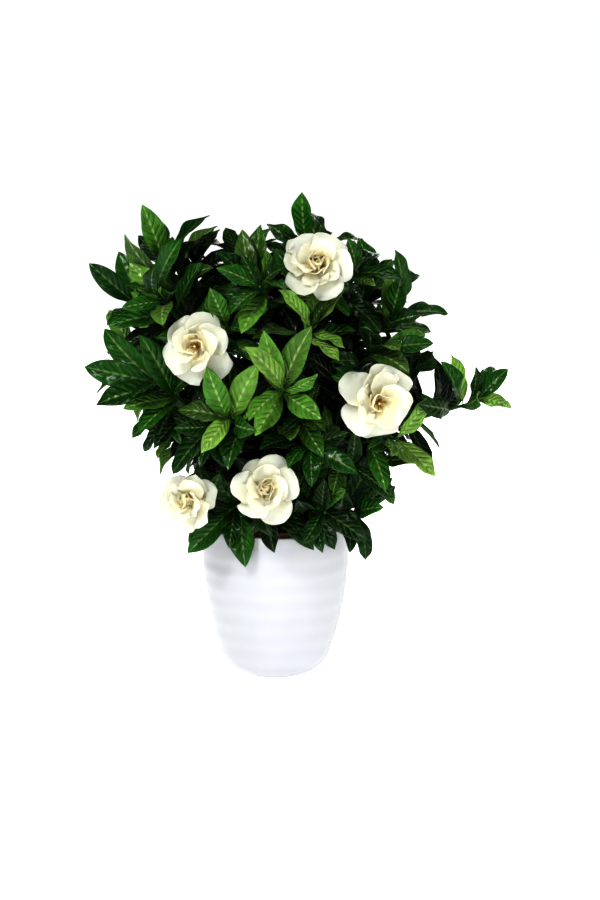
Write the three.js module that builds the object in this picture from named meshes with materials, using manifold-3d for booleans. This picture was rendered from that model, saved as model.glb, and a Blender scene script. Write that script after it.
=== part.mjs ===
// A gardenia bush in its brown grow pot, standing in a ribbed white glazed cover pot.
// Units are millimetres, Z is up, the front of the plant looks along -Y, and the origin is the
// centre of the cover pot's base.
//
// The plant is built as it grows: a trunk in the soil divides into limbs, each shoot is a twig on a
// limb, each leaf is rooted in its twig, and a bloom sits on the end of its own shoot.
import * as THREE from "three";
import Module from "manifold-3d";
import { mergeVertices } from "three/addons/utils/BufferGeometryUtils.js";

const wasm = await Module();
wasm.setup();

// ---------------------------------------------------------------- driving dimensions
const COVER_POT = {
  height: 174,
  rimRadius: 84.5,
  footRadius: 51.5,
  flare: 2.4, // exponent of the wall's curve
  corner: 36, // radius where the wall turns in to the base
  cornerSteps: [18, 35, 53, 70], // degrees round that radius, up to where the wall takes over
  wall: 6,
  floor: 8,
  ribPitch: 20.5,
  ribDepth: 0.8,
  ribsFrom: 24,
  ribsTo: 147,
  lipDrop: 3, // the lip is rounded over this height
  sides: 28,
};
const GROW_POT = {
  rim: 178,
  rimRadius: 72.5,
  baseRadius: 43.5,
  wall: 1.8,
  lip: 2, // how far the rim's band stands out
  lipHeight: 9,
  drainRadius: 5,
  drainCircle: 32,
  drains: 4,
  sides: 20,
};
const SOIL = {
  top: 160,
  lump: 2.4,
  rings: [0.72, 0.4], // shares of the radius at which its top is measured
  waves: [0.13, 1, 0.11, 2], // turns per millimetre and shift of the lumps, along x and then y
  sides: 20,
};
const GAP = 0.3; // between pieces that touch
const TRUNK = { foot: 112, fork: 186, radius: 7.5, taper: 0.9, sides: 7 };
const LIMB = {
  startRadius: 5.2,
  endRadius: 3,
  below: 6, // how far under the fork its root lies
  out: 0.3, // its bend, as a share of the way out
  up: 0.45, // and as a share of the way up
  sides: 5,
  steps: 3,
};
const TWIG = {
  startRadius: 2.8,
  endRadius: 1.9,
  bend: 0.4, // how far its bend lies before its end, as a share of its reach
  clear: 0.6, // least gap to another twig or a bloom
  sides: 3,
  steps: 2,
};
const TWIG_ROOTS = { from: 3, to: 120, step: 9, drop: 15 }; // back from a limb's end, and least rise
const CALYX = { length: 9, radius: 4.4, sides: 5 };
const CROWN = new THREE.Vector3(5, 0, 310); // the middle of the foliage
const LIGHT = new THREE.Vector3(-0.15, -0.7, 0.6); // where the leaves turn their upper faces

const LEAF = {
  length: 66,
  ratio: 0.38, // width over length
  widest: 31,
  base: 1.4, // exponents of the outline, towards the stalk and towards the point
  point: 0.8,
  rows: [0.32, 0.74], // shares of the length at which it is measured
  ribs: [1.9, 1.2], // thickness of the midrib in those rows
  lengthSpread: 0.14, // how far a leaf's length departs from the mean, as a share
  widthSpread: 0.12,
  endPair: 0.86, // the two leaves at the end of a twig are shorter
  arch: 38, // degrees that it bends back along its length
  archSpread: 24,
  fold: 16, // degrees that each half rises from the midrib
  foldSpread: 8,
  roll: 14, // degrees that it may turn about its length
  wave: 1.6, // how far its edges ripple
  waves: 2.2,
  facing: [0.6, 0.75, 0.3], // how much it looks outwards, to the light, and at random
  sunk: 0.6, // how far its root lies beyond the middle of the twig
  clear: 0.5, // least gap to another shoot
  free: 0.06, // share of the leaf next to the twig that may touch its neighbours
};
// Leaves by rule stand in pairs. from and step are millimetres back from the twig's end.
const PAIRS = { from: 5, step: 18, turn: 97, turnSpread: 18, shootTurn: 35 };
const SPREAD = { first: 48, step: 9, spread: 10 }; // degrees between a leaf and its twig
const PICKED = { from: 2, step: 8 }; // where the leaves with given tips stand, back from the end
const PETAL = { base: 1.1, point: 0.42, rows: [0.36, 0.7, 0.93], ribs: [2, 1.5, 1.1] };
const INNER_PETAL = { ...PETAL, rows: [0.42, 0.86], ribs: [2, 1.2] };
const FINENESS = [0.3, 0.2, 0.1, 0.03]; // corners closer to their face than this are left out
const SAME_PLACE = 0.01; // corners closer than this are in the same place
const SEED = 7;
const IDS = 40; // each shoot numbers its leaves and petals within so many
const UP = new THREE.Vector3(0, 0, 1);
const NEARLY_UP = new THREE.Vector3(0.3, 0.2, 1); // no twig runs along it
const RISE = 0.35; // how much a shoot turns upwards from straight out

// The limbs' far ends.
const LIMBS = {
  west: [-80, -55, 290],
  west_high: [-85, -35, 395],
  front: [0, -70, 290],
  top: [15, -20, 430],
  east: [80, -45, 285],
  east_high: [80, -20, 365],
  back_west: [-85, 60, 330],
  back: [5, 85, 390],
  back_east: [85, 65, 320],
};

// Each shoot: the end of its twig, the points of the leaves that shape the outline, and how many
// further leaves stand round the twig by rule. A bloom is given by the way it looks and its radius.
const SHOOTS = {
  top_left: {
    end: [-120, -60, 475],
    tips: [[-140, -90, 540], [-155, -50, 520], [-70, -45, 525], [-100, -90, 525], [-150, -100, 510]],
    more: 6,
  },
  upper_left: {
    end: [-125, -110, 450],
    tips: [[-95, -150, 510], [-130, -140, 485], [-170, -110, 440], [-115, -160, 420]], more: 6,
  },
  far_left: { end: [-150, -55, 430], tips: [[-200, -65, 475], [-170, -40, 485], [-185, -60, 420]], more: 6 },
  left: {
    end: [-125, -95, 350],
    tips: [[-205, -85, 365], [-195, -100, 335], [-175, -60, 415], [-155, -130, 400], [-160, -130, 335]],
    more: 6,
  },
  low_left: { end: [-115, -75, 315], tips: [[-155, -80, 285], [-145, -50, 265], [-100, -110, 285]], more: 6 },
  bottom_left: { end: [-65, -105, 305], tips: [[-110, -100, 250], [-50, -140, 265]], more: 6 },
  rim_left: { end: [-50, -80, 205], tips: [[-95, -100, 162], [-75, -112, 174], [-30, -118, 188]], more: 6 },
  rim_front: { end: [-5, -80, 205], tips: [[0, -112, 165], [20, -110, 180]], more: 6 },
  rim_right: {
    end: [55, -90, 205],
    tips: [[40, -105, 175], [65, -115, 165], [95, -95, 165], [35, -130, 230], [80, -120, 225]], more: 6,
  },
  right_bottom: {
    end: [95, -60, 195],
    tips: [[125, -55, 200], [125, -75, 225], [130, -50, 235], [120, -60, 265], [75, -110, 235]], more: 6,
  },
  centre_low: {
    end: [40, -115, 285], tips: [[40, -145, 245], [15, -145, 265], [60, -135, 255], [75, -120, 280]],
    more: 6,
  },
  centre_dark: { end: [40, -100, 320], tips: [[35, -140, 345], [75, -135, 320], [10, -135, 305]], more: 6 },
  centre: { end: [10, -145, 350], tips: [[-30, -175, 400], [-10, -160, 415], [40, -165, 420]], more: 6 },
  centre_left: {
    end: [-50, -120, 315], tips: [[-70, -150, 375], [-15, -155, 380], [-20, -165, 340], [-90, -150, 325]],
    more: 6,
  },
  mid_left: { end: [-50, -120, 415], tips: [[-75, -145, 455], [-30, -150, 400]], more: 6 },
  mid_top: { end: [-15, -110, 455], tips: [[15, -115, 490], [-45, -150, 430], [-40, -130, 490]], more: 6 },
  mid_right: { end: [40, -115, 410], tips: [[5, -140, 455], [80, -140, 450], [65, -145, 385]], more: 6 },
  top_mid: {
    end: [-30, -60, 445], tips: [[-60, -95, 490], [-35, -50, 510], [-15, -45, 515], [-70, -55, 480]],
    more: 6,
  },
  top: {
    end: [35, -25, 495],
    tips: [[30, -45, 550], [15, -20, 525], [55, -50, 515], [-10, -20, 510], [65, -5, 525]], more: 6,
  },
  right_top: {
    end: [90, -60, 465], tips: [[90, -75, 500], [125, -80, 465], [95, -30, 495], [110, -100, 450]], more: 6,
  },
  far_right: {
    end: [135, -45, 420],
    tips: [[130, -70, 490], [150, -60, 480], [175, -35, 455], [165, -45, 430], [110, -90, 450]], more: 6,
  },
  right: {
    end: [120, -70, 385], tips: [[145, -40, 400], [165, -45, 395], [145, -125, 390], [155, -110, 365]],
    more: 6,
  },
  branch: {
    end: [225, -40, 320],
    tips: [[270, -40, 345], [225, -60, 360], [195, -20, 370], [180, -80, 370], [155, -90, 325]], more: 3,
  },
  right_low: { end: [135, -80, 285], tips: [[175, -90, 245], [125, -125, 275], [100, -115, 280]], more: 6 },
  low_right: { end: [85, -85, 255], tips: [[120, -90, 270], [100, -120, 245], [120, -60, 245]], more: 6 },
  side_left: { end: [-165, 20, 370], tips: [], more: 9 },
  side_low: { end: [-120, 25, 270], tips: [], more: 8 },
  back_left: { end: [-125, 100, 430], tips: [], more: 9 },
  back_low: { end: [-60, 120, 245], tips: [], more: 8 },
  back_mid: { end: [-30, 160, 350], tips: [], more: 8 },
  back_top: { end: [-50, 65, 468], tips: [], more: 9 },
  crest: { end: [60, 60, 485], tips: [], more: 9 },
  back_right: { end: [112, 105, 395], tips: [], more: 9 },
  back_foot: { end: [75, 115, 230], tips: [], more: 8 },
  side_right: { end: [150, 40, 320], tips: [], more: 8 },
  side_foot: { end: [118, 35, 235], tips: [], more: 7 },
  left_crown: { end: [-115, 25, 480], tips: [], more: 8 },
  right_crown: { end: [112, 35, 440], tips: [], more: 8 },
  back_side: { end: [-130, 90, 315], tips: [], more: 8 },
  back_high: { end: [50, 130, 430], tips: [], more: 8 },
  back_centre: { end: [45, 160, 320], tips: [], more: 8 },
  bloom_left: {
    end: [-80, -135, 395], look: [-0.2, -1, 0.1], bloom: { radius: 40, open: 0 }, tips: [], more: 5,
  },
  bloom_top: {
    end: [45, -105, 473], look: [0.05, -0.85, 0.5], bloom: { radius: 40, open: -4 }, tips: [], more: 5,
  },
  bloom_right: {
    end: [110, -135, 335], look: [0.1, -1, 0.05], bloom: { radius: 43, open: 4 }, tips: [[60, -140, 355]],
    more: 4,
  },
  bloom_low_left: {
    end: [-90, -105, 222], look: [-0.35, -0.8, 0.2], bloom: { radius: 36, open: -14 },
    tips: [[-105, -135, 260]], more: 4,
  },
  bloom_low: {
    end: [-10, -132, 238], look: [0.1, -0.9, 0.35], bloom: { radius: 39, open: -6 }, tips: [], more: 5,
  },
  bloom_back: {
    end: [-45, 140, 430], look: [-0.3, 0.8, 0.5], bloom: { radius: 40, open: 0 }, tips: [], more: 5,
  },
  bloom_back_right: {
    end: [110, 125, 300], look: [0.6, 0.8, 0.1], bloom: { radius: 38, open: -6 }, tips: [], more: 5,
  },
};

// Petals from the outside in: how many, their angle from the bloom's axis, length and width as
// shares of the bloom's radius, how far they curl back (minus is inwards), and a turn of the ring.
const PETAL_RINGS = [
  { count: 6, tilt: 84, length: 1.0, width: 0.8, curl: 30, turn: 0, shape: PETAL },
  { count: 5, tilt: 58, length: 0.8, width: 0.66, curl: 15, turn: 25, shape: INNER_PETAL },
  { count: 4, tilt: 32, length: 0.56, width: 0.5, curl: -40, turn: 10, shape: INNER_PETAL },
];
const PETAL_OVERLAP = 15; // degrees that each petal is turned, so that its edge slips under the next
const PETAL_SPREAD = { turn: 7, tilt: 8, length: 0.08, arch: 10, width: 0.08 };
const PETAL_FORM = { fold: 8, wave: 0.04, waves: 1.5 }; // the wave is a share of the bloom's radius
const TUBE = { length: 24, radius: 2.6, sides: 5 }; // the white tube under a bloom
const THROAT = { radius: 5.5, thickness: 2.4, step: 2.5 }; // where the petals of a ring meet

// The ways a leaf may swing clear of its neighbours: degrees sideways and up.
const SWAYS = [
  [0, 0], [9, 0], [-9, 0], [0, 9], [0, -9], [16, 8], [-16, 8], [16, -8], [-16, -8], [0, 20],
  [26, 0], [-26, 0], [0, -22], [34, 16], [-34, 16], [34, -16], [-34, -16], [48, 0], [-48, 0],
  [20, 32], [-20, 32], [20, -32], [-20, -32], [50, 26], [-50, 26], [50, -26], [-50, -26],
];
const SWAY_SHRINK = 0.015; // each further sway also makes the leaf this much shorter

const COLOURS = {
  cover_pot: { color: "#f1f2f7", roughness: 0.25 },
  grow_pot: { color: "#5a3a2c", roughness: 0.6 },
  soil: { color: "#2a1c14", roughness: 1 },
  bark: { color: "#6b5a43", roughness: 0.9 },
  leaf: { color: "#1f5a1c", roughness: 0.35 },
  petal: { color: "#f6f3e4", roughness: 0.6 },
};

// ---------------------------------------------------------------- small helpers
const degrees = THREE.MathUtils.degToRad;
const vector = (p) => new THREE.Vector3(...p);

// A repeatable draw from 0 to 1 for a numbered leaf or petal.
function draw(number, turn) {
  let n = Math.imul(number * 31 + turn * 1013 + SEED, 2654435761) >>> 0;
  n = Math.imul(n ^ (n >>> 15), 2246822519) >>> 0;
  n = Math.imul(n ^ (n >>> 13), 3266489917) >>> 0;
  return ((n ^ (n >>> 16)) >>> 0) / 4294967296;
}

// A value within plus or minus spread.
const jitter = (number, turn, spread) => (2 * draw(number, turn) - 1) * spread;

function solidOf(geometry) {
  const bare = geometry.clone();
  bare.deleteAttribute("normal");
  bare.deleteAttribute("uv");
  const merged = mergeVertices(bare, 1e-3);
  return new wasm.Manifold(
    new wasm.Mesh({
      numProp: 3,
      vertProperties: merged.attributes.position.array,
      triVerts: new Uint32Array(merged.index.array),
    }),
  );
}

// Whether no two corners of a solid lie in the same place.
function cornersApart(solid) {
  const { vertProperties } = solid.getMesh();
  const places = new Set();
  for (let i = 0; i < vertProperties.length; i += 3) {
    places.add(Array.from(vertProperties.slice(i, i + 3), (x) => Math.round(x / SAME_PLACE)).join());
  }
  return places.size === vertProperties.length / 3;
}

// The largest body of a solid, with any hollow sealed inside it filled, and as few corners as the
// first fineness that keeps them apart allows.
function mainBody(solid) {
  const bodies = FINENESS.map((fineness) => {
    const parts = solid.asOriginal().simplify(fineness).decompose();
    return parts.sort((a, b) => b.volume() - a.volume())[0];
  });
  return bodies.find(cornersApart) ?? bodies.at(-1);
}

function geometryOf(solid) {
  const mesh = solid.getMesh();
  const geometry = new THREE.BufferGeometry();
  geometry.setAttribute("position", new THREE.BufferAttribute(mesh.vertProperties, 3));
  geometry.setIndex(new THREE.BufferAttribute(mesh.triVerts, 1));
  geometry.computeVertexNormals();
  return geometry;
}

// A closed solid from triangles given by their points.
function solidOfFaces(faces) {
  const geometry = new THREE.BufferGeometry().setFromPoints(faces.flat());
  return solidOf(geometry);
}

// A closed surface from points and triangles.
function closedGeometry(points, triangles) {
  const geometry = new THREE.BufferGeometry().setFromPoints(points);
  geometry.setIndex(triangles.flat());
  return geometry;
}

// A round stalk through points, from startRadius to endRadius.
function stalk(path, startRadius, endRadius, sides) {
  const points = [];
  const triangles = [];
  const steps = path.length - 1;
  const across = new THREE.Vector3(0.31, 0.87, 0.4);
  for (const [i, centre] of path.entries()) {
    const axis = path[Math.min(i + 1, steps)].clone().sub(path[Math.max(i - 1, 0)]).normalize();
    across.addScaledVector(axis, -across.dot(axis)).normalize();
    const radius = THREE.MathUtils.lerp(startRadius, endRadius, i / steps);
    for (let k = 0; k < sides; k++) {
      const out = across.clone().applyAxisAngle(axis, (2 * Math.PI * k) / sides);
      points.push(centre.clone().addScaledVector(out, radius));
    }
  }
  for (let i = 0; i < steps; i++) {
    for (let k = 0; k < sides; k++) {
      const a = i * sides + k;
      const b = i * sides + ((k + 1) % sides);
      triangles.push([a, b, b + sides], [a, b + sides, a + sides]);
    }
  }
  const last = steps * sides;
  for (let k = 1; k < sides - 1; k++) {
    triangles.push([0, k + 1, k], [last, last + k, last + k + 1]);
  }
  return solidOf(closedGeometry(points, triangles));
}

// The point and direction on a path of points, at a distance back from its end.
function alongPath(path, back) {
  let left = back;
  for (let i = path.length - 1; i > 0; i--) {
    const step = path[i].clone().sub(path[i - 1]);
    const length = step.length();
    step.normalize();
    if (left < length || i === 1) {
      return { point: path[i].clone().addScaledVector(step, -Math.min(left, 0.8 * length)), axis: step };
    }
    left -= length;
  }
  return null;
}

// ---------------------------------------------------------------- blades: leaves and petals
// A blade is a thin, keeled, V-folded surface from root to tip. face is the way its upper side
// looks, arch is how far it turns along its length, fold lifts its edges, and wave ripples them.
function bladeAxes(blade) {
  const chord = blade.tip.clone().sub(blade.root);
  const reach = chord.length();
  chord.normalize();
  const face = blade.face.clone().addScaledVector(chord, -blade.face.dot(chord)).normalize();
  if (blade.roll) face.applyAxisAngle(chord, blade.roll);
  const half = blade.arch / 2;
  const length = Math.abs(half) < 1e-4 ? reach : (reach * half) / Math.sin(half);
  const along = chord.clone().multiplyScalar(Math.cos(half)).addScaledVector(face, Math.sin(half));
  const up = face.clone().multiplyScalar(Math.cos(half)).addScaledVector(chord, -Math.sin(half));
  const side = new THREE.Vector3().crossVectors(along, up);
  return { along, up, side, length };
}

const outline = (u, shape) => {
  const widest = shape.base / (shape.base + shape.point);
  const peak = widest ** shape.base * (1 - widest) ** shape.point;
  return (u ** shape.base * (1 - u) ** shape.point) / peak;
};

// The point at share u of the blade's length and v of its half width.
function bladePoint(blade, axes, u, v) {
  const turned = blade.arch * u;
  const curved = Math.abs(blade.arch) > 1e-4;
  const forward = curved ? Math.sin(turned) / blade.arch : u;
  const down = curved ? (1 - Math.cos(turned)) / blade.arch : 0;
  const half = (blade.width / 2) * outline(u, blade.shape);
  const spread = v * half * Math.cos(blade.fold);
  const lift =
    Math.abs(v) * half * Math.sin(blade.fold) +
    blade.wave * v * v * Math.sin(2 * Math.PI * (blade.waves * u + blade.phase + (v > 0 ? 0.35 : 0)));
  const up = axes.up.clone().multiplyScalar(Math.cos(turned));
  up.addScaledVector(axes.along, Math.sin(turned));
  return blade.root
    .clone()
    .addScaledVector(axes.along, axes.length * forward)
    .addScaledVector(axes.up, -axes.length * down)
    .addScaledVector(axes.side, spread)
    .addScaledVector(up, lift);
}

// A row of a blade: its left and right edge, and the top and underside of its midrib.
function bladeRow(blade, axes, u, rib) {
  const turned = blade.arch * u;
  const up = axes.up.clone().multiplyScalar(Math.cos(turned));
  up.addScaledVector(axes.along, Math.sin(turned));
  const middle = bladePoint(blade, axes, u, 0);
  return {
    left: bladePoint(blade, axes, u, -1),
    right: bladePoint(blade, axes, u, 1),
    top: middle.clone().addScaledVector(up, rib / 2),
    under: middle.clone().addScaledVector(up, -rib / 2),
  };
}

// The faces between two rows, as triples of points, split alike on the top and the underside.
function stripFaces(a, b) {
  return [
    [a.left, a.top, b.top], [a.left, b.top, b.left],
    [a.top, a.right, b.top], [a.right, b.right, b.top],
    [a.left, b.under, a.under], [a.left, b.left, b.under],
    [a.under, b.under, a.right], [a.right, b.under, b.right],
  ];
}

// The faces from a row to a point: the blade's tip, or its root where back is true.
function endFaces(row, point, back) {
  const faces = [
    [row.left, row.top, point], [row.top, row.right, point],
    [row.left, point, row.under], [row.under, point, row.right],
  ];
  return back ? faces.map(([a, b, c]) => [a, c, b]) : faces;
}

// The blade's rows past the share `from` of its length, and its tip.
function bladeRows(blade, from = 0) {
  const axes = bladeAxes(blade);
  const { rows, ribs } = blade.shape;
  const past = rows.map((u, i) => [u, ribs[i]]).filter(([u]) => u > from);
  return {
    start: bladePoint(blade, axes, from, 0),
    rows: past.map(([u, rib]) => bladeRow(blade, axes, u, rib)),
    tip: bladePoint(blade, axes, 1, 0),
  };
}

const stripsOf = (rows) => rows.slice(1).flatMap((row, i) => stripFaces(rows[i], row));

// The blade as a closed solid, from the share `from` of its length to its tip.
function bladeSolid(blade, from = 0) {
  const { start, rows, tip } = bladeRows(blade, from);
  return solidOfFaces([
    ...endFaces(rows[0], start, true),
    ...stripsOf(rows),
    ...endFaces(rows.at(-1), tip, false),
  ]);
}

// A ring of blades that share a centre and meet at corners round it, as one closed solid.
function ringSolid(blades, centre, corners) {
  const faces = blades.flatMap((blade, i) => {
    const { rows, tip } = bladeRows(blade);
    const last = (i + corners.length - 1) % corners.length;
    const base = { left: corners[i], right: corners[last], top: centre.top, under: centre.under };
    return [...stripsOf([base, ...rows]), ...endFaces(rows.at(-1), tip, false)];
  });
  return solidOfFaces(faces);
}

// ---------------------------------------------------------------- pots and soil
function coverWallRadius(z) {
  const { height, rimRadius, footRadius, flare, ribPitch, ribDepth, ribsFrom, ribsTo } = COVER_POT;
  const plain = rimRadius - (rimRadius - footRadius) * Math.max(0, 1 - z / height) ** flare;
  const ribbed = z >= ribsFrom && z <= ribsTo;
  return ribbed ? plain - ribDepth * Math.sin((Math.PI * (z - ribsFrom)) / ribPitch) ** 2 : plain;
}

function coverPot() {
  const { height, corner, cornerSteps, wall, floor, ribPitch, ribsFrom, ribsTo, lipDrop, sides } = COVER_POT;
  const last = degrees(cornerSteps.at(-1));
  const footRadius = coverWallRadius(corner * (1 - Math.cos(last))) - corner * Math.sin(last);
  const profile = [[0, 0], [footRadius, 0]];
  for (const a of cornerSteps.map(degrees)) {
    profile.push([footRadius + corner * Math.sin(a), corner * (1 - Math.cos(a))]);
  }
  for (let z = ribsFrom; z < ribsTo; z += ribPitch / 2) profile.push([coverWallRadius(z), z]);
  const lip = coverWallRadius(height);
  profile.push([lip, height - lipDrop], [lip - wall / 4, height - lipDrop / 6]);
  profile.push([lip - (wall * 3) / 4, height], [lip - wall, height - lipDrop]);
  for (const z of [height / 2, floor * 2]) profile.push([coverWallRadius(z) - wall, z]);
  profile.push([GROW_POT.baseRadius + wall / 4, floor], [0, floor]);
  return solidOf(lathe(profile, sides));
}

function lathe(profile, sides) {
  const points = profile.map(([r, z]) => new THREE.Vector2(r, z));
  return new THREE.LatheGeometry(points, sides).rotateX(Math.PI / 2);
}

function growWallRadius(z) {
  const foot = COVER_POT.floor + GAP;
  const share = (z - foot) / (GROW_POT.rim - foot);
  return THREE.MathUtils.lerp(GROW_POT.baseRadius, GROW_POT.rimRadius, share);
}

function growPot() {
  const { rim, wall, lip, lipHeight, drainRadius, drainCircle, drains, sides } = GROW_POT;
  const foot = COVER_POT.floor + GAP;
  const bandRadius = growWallRadius(rim) + lip;
  let pot = solidOf(
    lathe(
      [
        [0, foot], [growWallRadius(foot), foot], [growWallRadius(rim - lipHeight), rim - lipHeight],
        [bandRadius, rim - lipHeight + 1], [bandRadius, rim - 1], [bandRadius - 1, rim],
        [growWallRadius(rim) - wall, rim], [growWallRadius(foot) - wall, foot + wall], [0, foot + wall],
      ],
      sides,
    ),
  );
  for (let i = 0; i < drains; i++) {
    const a = (2 * Math.PI * (i + 0.5)) / drains;
    const drill = new THREE.CylinderGeometry(drainRadius, drainRadius, 4 * wall, 8).rotateX(Math.PI / 2);
    drill.translate(drainCircle * Math.cos(a), drainCircle * Math.sin(a), foot);
    pot = pot.subtract(solidOf(drill));
  }
  return pot;
}

function soilBody(trunkHole) {
  const foot = COVER_POT.floor + GAP + GROW_POT.wall + GAP;
  const inner = (z) => growWallRadius(z) - GROW_POT.wall - 2 * GAP;
  const rim = inner(SOIL.top);
  const rings = SOIL.rings.map((share) => [rim * share, SOIL.top]);
  const profile = [[0, foot], [inner(foot), foot], [rim, SOIL.top], ...rings, [0, SOIL.top]];
  const body = lathe(profile, SOIL.sides);
  const [xTurns, xShift, yTurns, yShift] = SOIL.waves;
  const position = body.attributes.position;
  for (let i = 0; i < position.count; i++) {
    if (position.getZ(i) < SOIL.top - 1) continue;
    const x = position.getX(i);
    const y = position.getY(i);
    const lump = Math.sin(x * xTurns + xShift) * Math.cos(y * yTurns + yShift);
    position.setZ(i, SOIL.top + SOIL.lump * lump);
  }
  return solidOf(body).subtract(trunkHole);
}

// ---------------------------------------------------------------- wood
const limbPaths = Object.values(LIMBS).map((end) => {
  const [x, y, z] = end;
  const start = new THREE.Vector3(0, 0, TRUNK.fork - LIMB.below);
  const rise = new THREE.Vector3(x * LIMB.out, y * LIMB.out, THREE.MathUtils.lerp(TRUNK.fork, z, LIMB.up));
  return new THREE.QuadraticBezierCurve3(start, rise, vector(end)).getSpacedPoints(LIMB.steps);
});

// Trunk and limbs as one piece. swell makes them thicker all round.
function wood(swell) {
  const foot = new THREE.Vector3(0, 0, TRUNK.foot - swell);
  const fork = new THREE.Vector3(0, 0, TRUNK.fork + swell);
  const parts = [stalk([foot, fork], TRUNK.radius + swell, TRUNK.radius * TRUNK.taper + swell, TRUNK.sides)];
  for (const path of limbPaths) {
    parts.push(stalk(path, LIMB.startRadius + swell, LIMB.endRadius + swell, LIMB.sides));
  }
  return wasm.Manifold.union(parts);
}

// The points of the limbs that a twig with this end may grow from, the nearest that isn't above it
// first.
function twigRoots(end) {
  const roots = [];
  for (const path of limbPaths) {
    for (let back = TWIG_ROOTS.from; back < TWIG_ROOTS.to; back += TWIG_ROOTS.step) {
      const { point } = alongPath(path, back);
      const above = Math.max(0, point.z + TWIG_ROOTS.drop - end.z);
      roots.push({ cost: point.distanceTo(end) + 2 * above, point });
    }
  }
  return roots.sort((a, b) => a.cost - b.cost).map((root) => root.point);
}

// ---------------------------------------------------------------- shoots
function shootLayout([name, plan], number) {
  const outward = vector(plan.end).sub(CROWN).normalize();
  const look = plan.look ? vector(plan.look) : outward.addScaledVector(UP, RISE);
  look.normalize();
  const throat = vector(plan.end);
  const end = throat.clone();
  if (plan.bloom) end.addScaledVector(look, -TUBE.length - CALYX.length);
  return { name, plan, number, look, throat, end, leaves: [] };
}

function twigPath({ end, look }, root) {
  const bend = end.clone().addScaledVector(look, -TWIG.bend * root.distanceTo(end));
  return new THREE.QuadraticBezierCurve3(root, bend, end).getSpacedPoints(TWIG.steps);
}

function twigSolid(shoot, path) {
  const twig = stalk(path, TWIG.startRadius, TWIG.endRadius, TWIG.sides);
  if (!shoot.plan.bloom) return twig;
  const from = shoot.end.clone().addScaledVector(shoot.look, -1);
  const to = shoot.end.clone().addScaledVector(shoot.look, CALYX.length);
  return twig.add(stalk([from, to], TWIG.endRadius, CALYX.radius, CALYX.sides));
}

// The petals of one ring, their shared centre, and the corners between neighbours.
function petalRing(shoot, ring, r) {
  const { look, throat, number } = shoot;
  const { radius, open } = shoot.plan.bloom;
  const across = UP.clone().cross(look).normalize();
  const root = throat.clone().addScaledVector(look, THROAT.step * (r - 1));
  const heading = (turn, tilt) => {
    const out = across.clone().applyAxisAngle(look, degrees(turn));
    return look.clone().multiplyScalar(Math.cos(tilt)).addScaledVector(out, Math.sin(tilt));
  };
  const start = ring.turn + IDS * number;
  const spacing = 360 / ring.count;
  const blades = [];
  const corners = [];
  for (let i = 0; i < ring.count; i++) {
    const id = number * IDS + r * 10 + i;
    const turn = start + spacing * i + jitter(id, 1, PETAL_SPREAD.turn);
    const tilt = degrees(ring.tilt + open + jitter(id, 2, PETAL_SPREAD.tilt));
    const reach = radius * ring.length * (1 + jitter(id, 3, PETAL_SPREAD.length));
    blades.push({
      root,
      tip: root.clone().addScaledVector(heading(turn, tilt), reach),
      face: heading(turn, tilt - Math.PI / 2),
      roll: degrees(PETAL_OVERLAP),
      arch: degrees(ring.curl + jitter(id, 4, PETAL_SPREAD.arch)),
      width: radius * ring.width * (1 + jitter(id, 5, PETAL_SPREAD.width)),
      fold: degrees(PETAL_FORM.fold),
      wave: radius * PETAL_FORM.wave,
      waves: PETAL_FORM.waves,
      phase: draw(id, 6),
      shape: ring.shape,
    });
    const between = heading(start + spacing * (i + 0.5), degrees(ring.tilt + open));
    corners.push(root.clone().addScaledVector(between, THROAT.radius));
  }
  const centre = {
    top: root.clone().addScaledVector(look, THROAT.thickness / 2),
    under: root.clone().addScaledVector(look, -THROAT.thickness / 2),
  };
  return { blades, centre, corners };
}

function bloomSolid(shoot) {
  const { look, throat } = shoot;
  const foot = shoot.end.clone().addScaledVector(look, CALYX.length + GAP);
  const top = throat.clone().addScaledVector(look, THROAT.step);
  const parts = [stalk([foot, top], TUBE.radius, TUBE.radius, TUBE.sides)];
  PETAL_RINGS.forEach((ring, r) => {
    const { blades, centre, corners } = petalRing(shoot, ring, r);
    parts.push(ringSolid(blades, centre, corners));
  });
  return mainBody(wasm.Manifold.union(parts));
}

// The leaves that a shoot should carry, before any of them swings clear of its neighbours.
function leafWishes(shoot) {
  const { plan, number, path } = shoot;
  const wishes = [];
  plan.tips.forEach((tip, i) => {
    const root = alongPath(path, PICKED.from + PICKED.step * i).point;
    root.addScaledVector(vector(tip).sub(root).normalize(), -LEAF.sunk);
    wishes.push({ id: number * IDS + i, root, tip: vector(tip), picked: true });
  });
  for (let i = 0; i < plan.more; i++) {
    const id = number * IDS + IDS / 2 + i;
    const pair = Math.floor(i / 2);
    const { point, axis } = alongPath(path, PAIRS.from + PAIRS.step * pair);
    const side = PAIRS.turn * pair + 180 * (i % 2) + PAIRS.shootTurn * number;
    const turn = degrees(side + jitter(id, 1, PAIRS.turnSpread));
    const spread = degrees(SPREAD.first + SPREAD.step * pair + jitter(id, 2, SPREAD.spread));
    const out = NEARLY_UP.clone().cross(axis).normalize().applyAxisAngle(axis, turn);
    const heading = axis.clone().multiplyScalar(Math.cos(spread)).addScaledVector(out, Math.sin(spread));
    const share = pair === 0 ? LEAF.endPair : 1;
    const reach = LEAF.length * (1 + jitter(id, 3, LEAF.lengthSpread)) * share;
    const root = point.addScaledVector(heading, -LEAF.sunk);
    wishes.push({ id, root, tip: root.clone().addScaledVector(heading, reach), picked: false });
  }
  return wishes;
}

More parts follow.
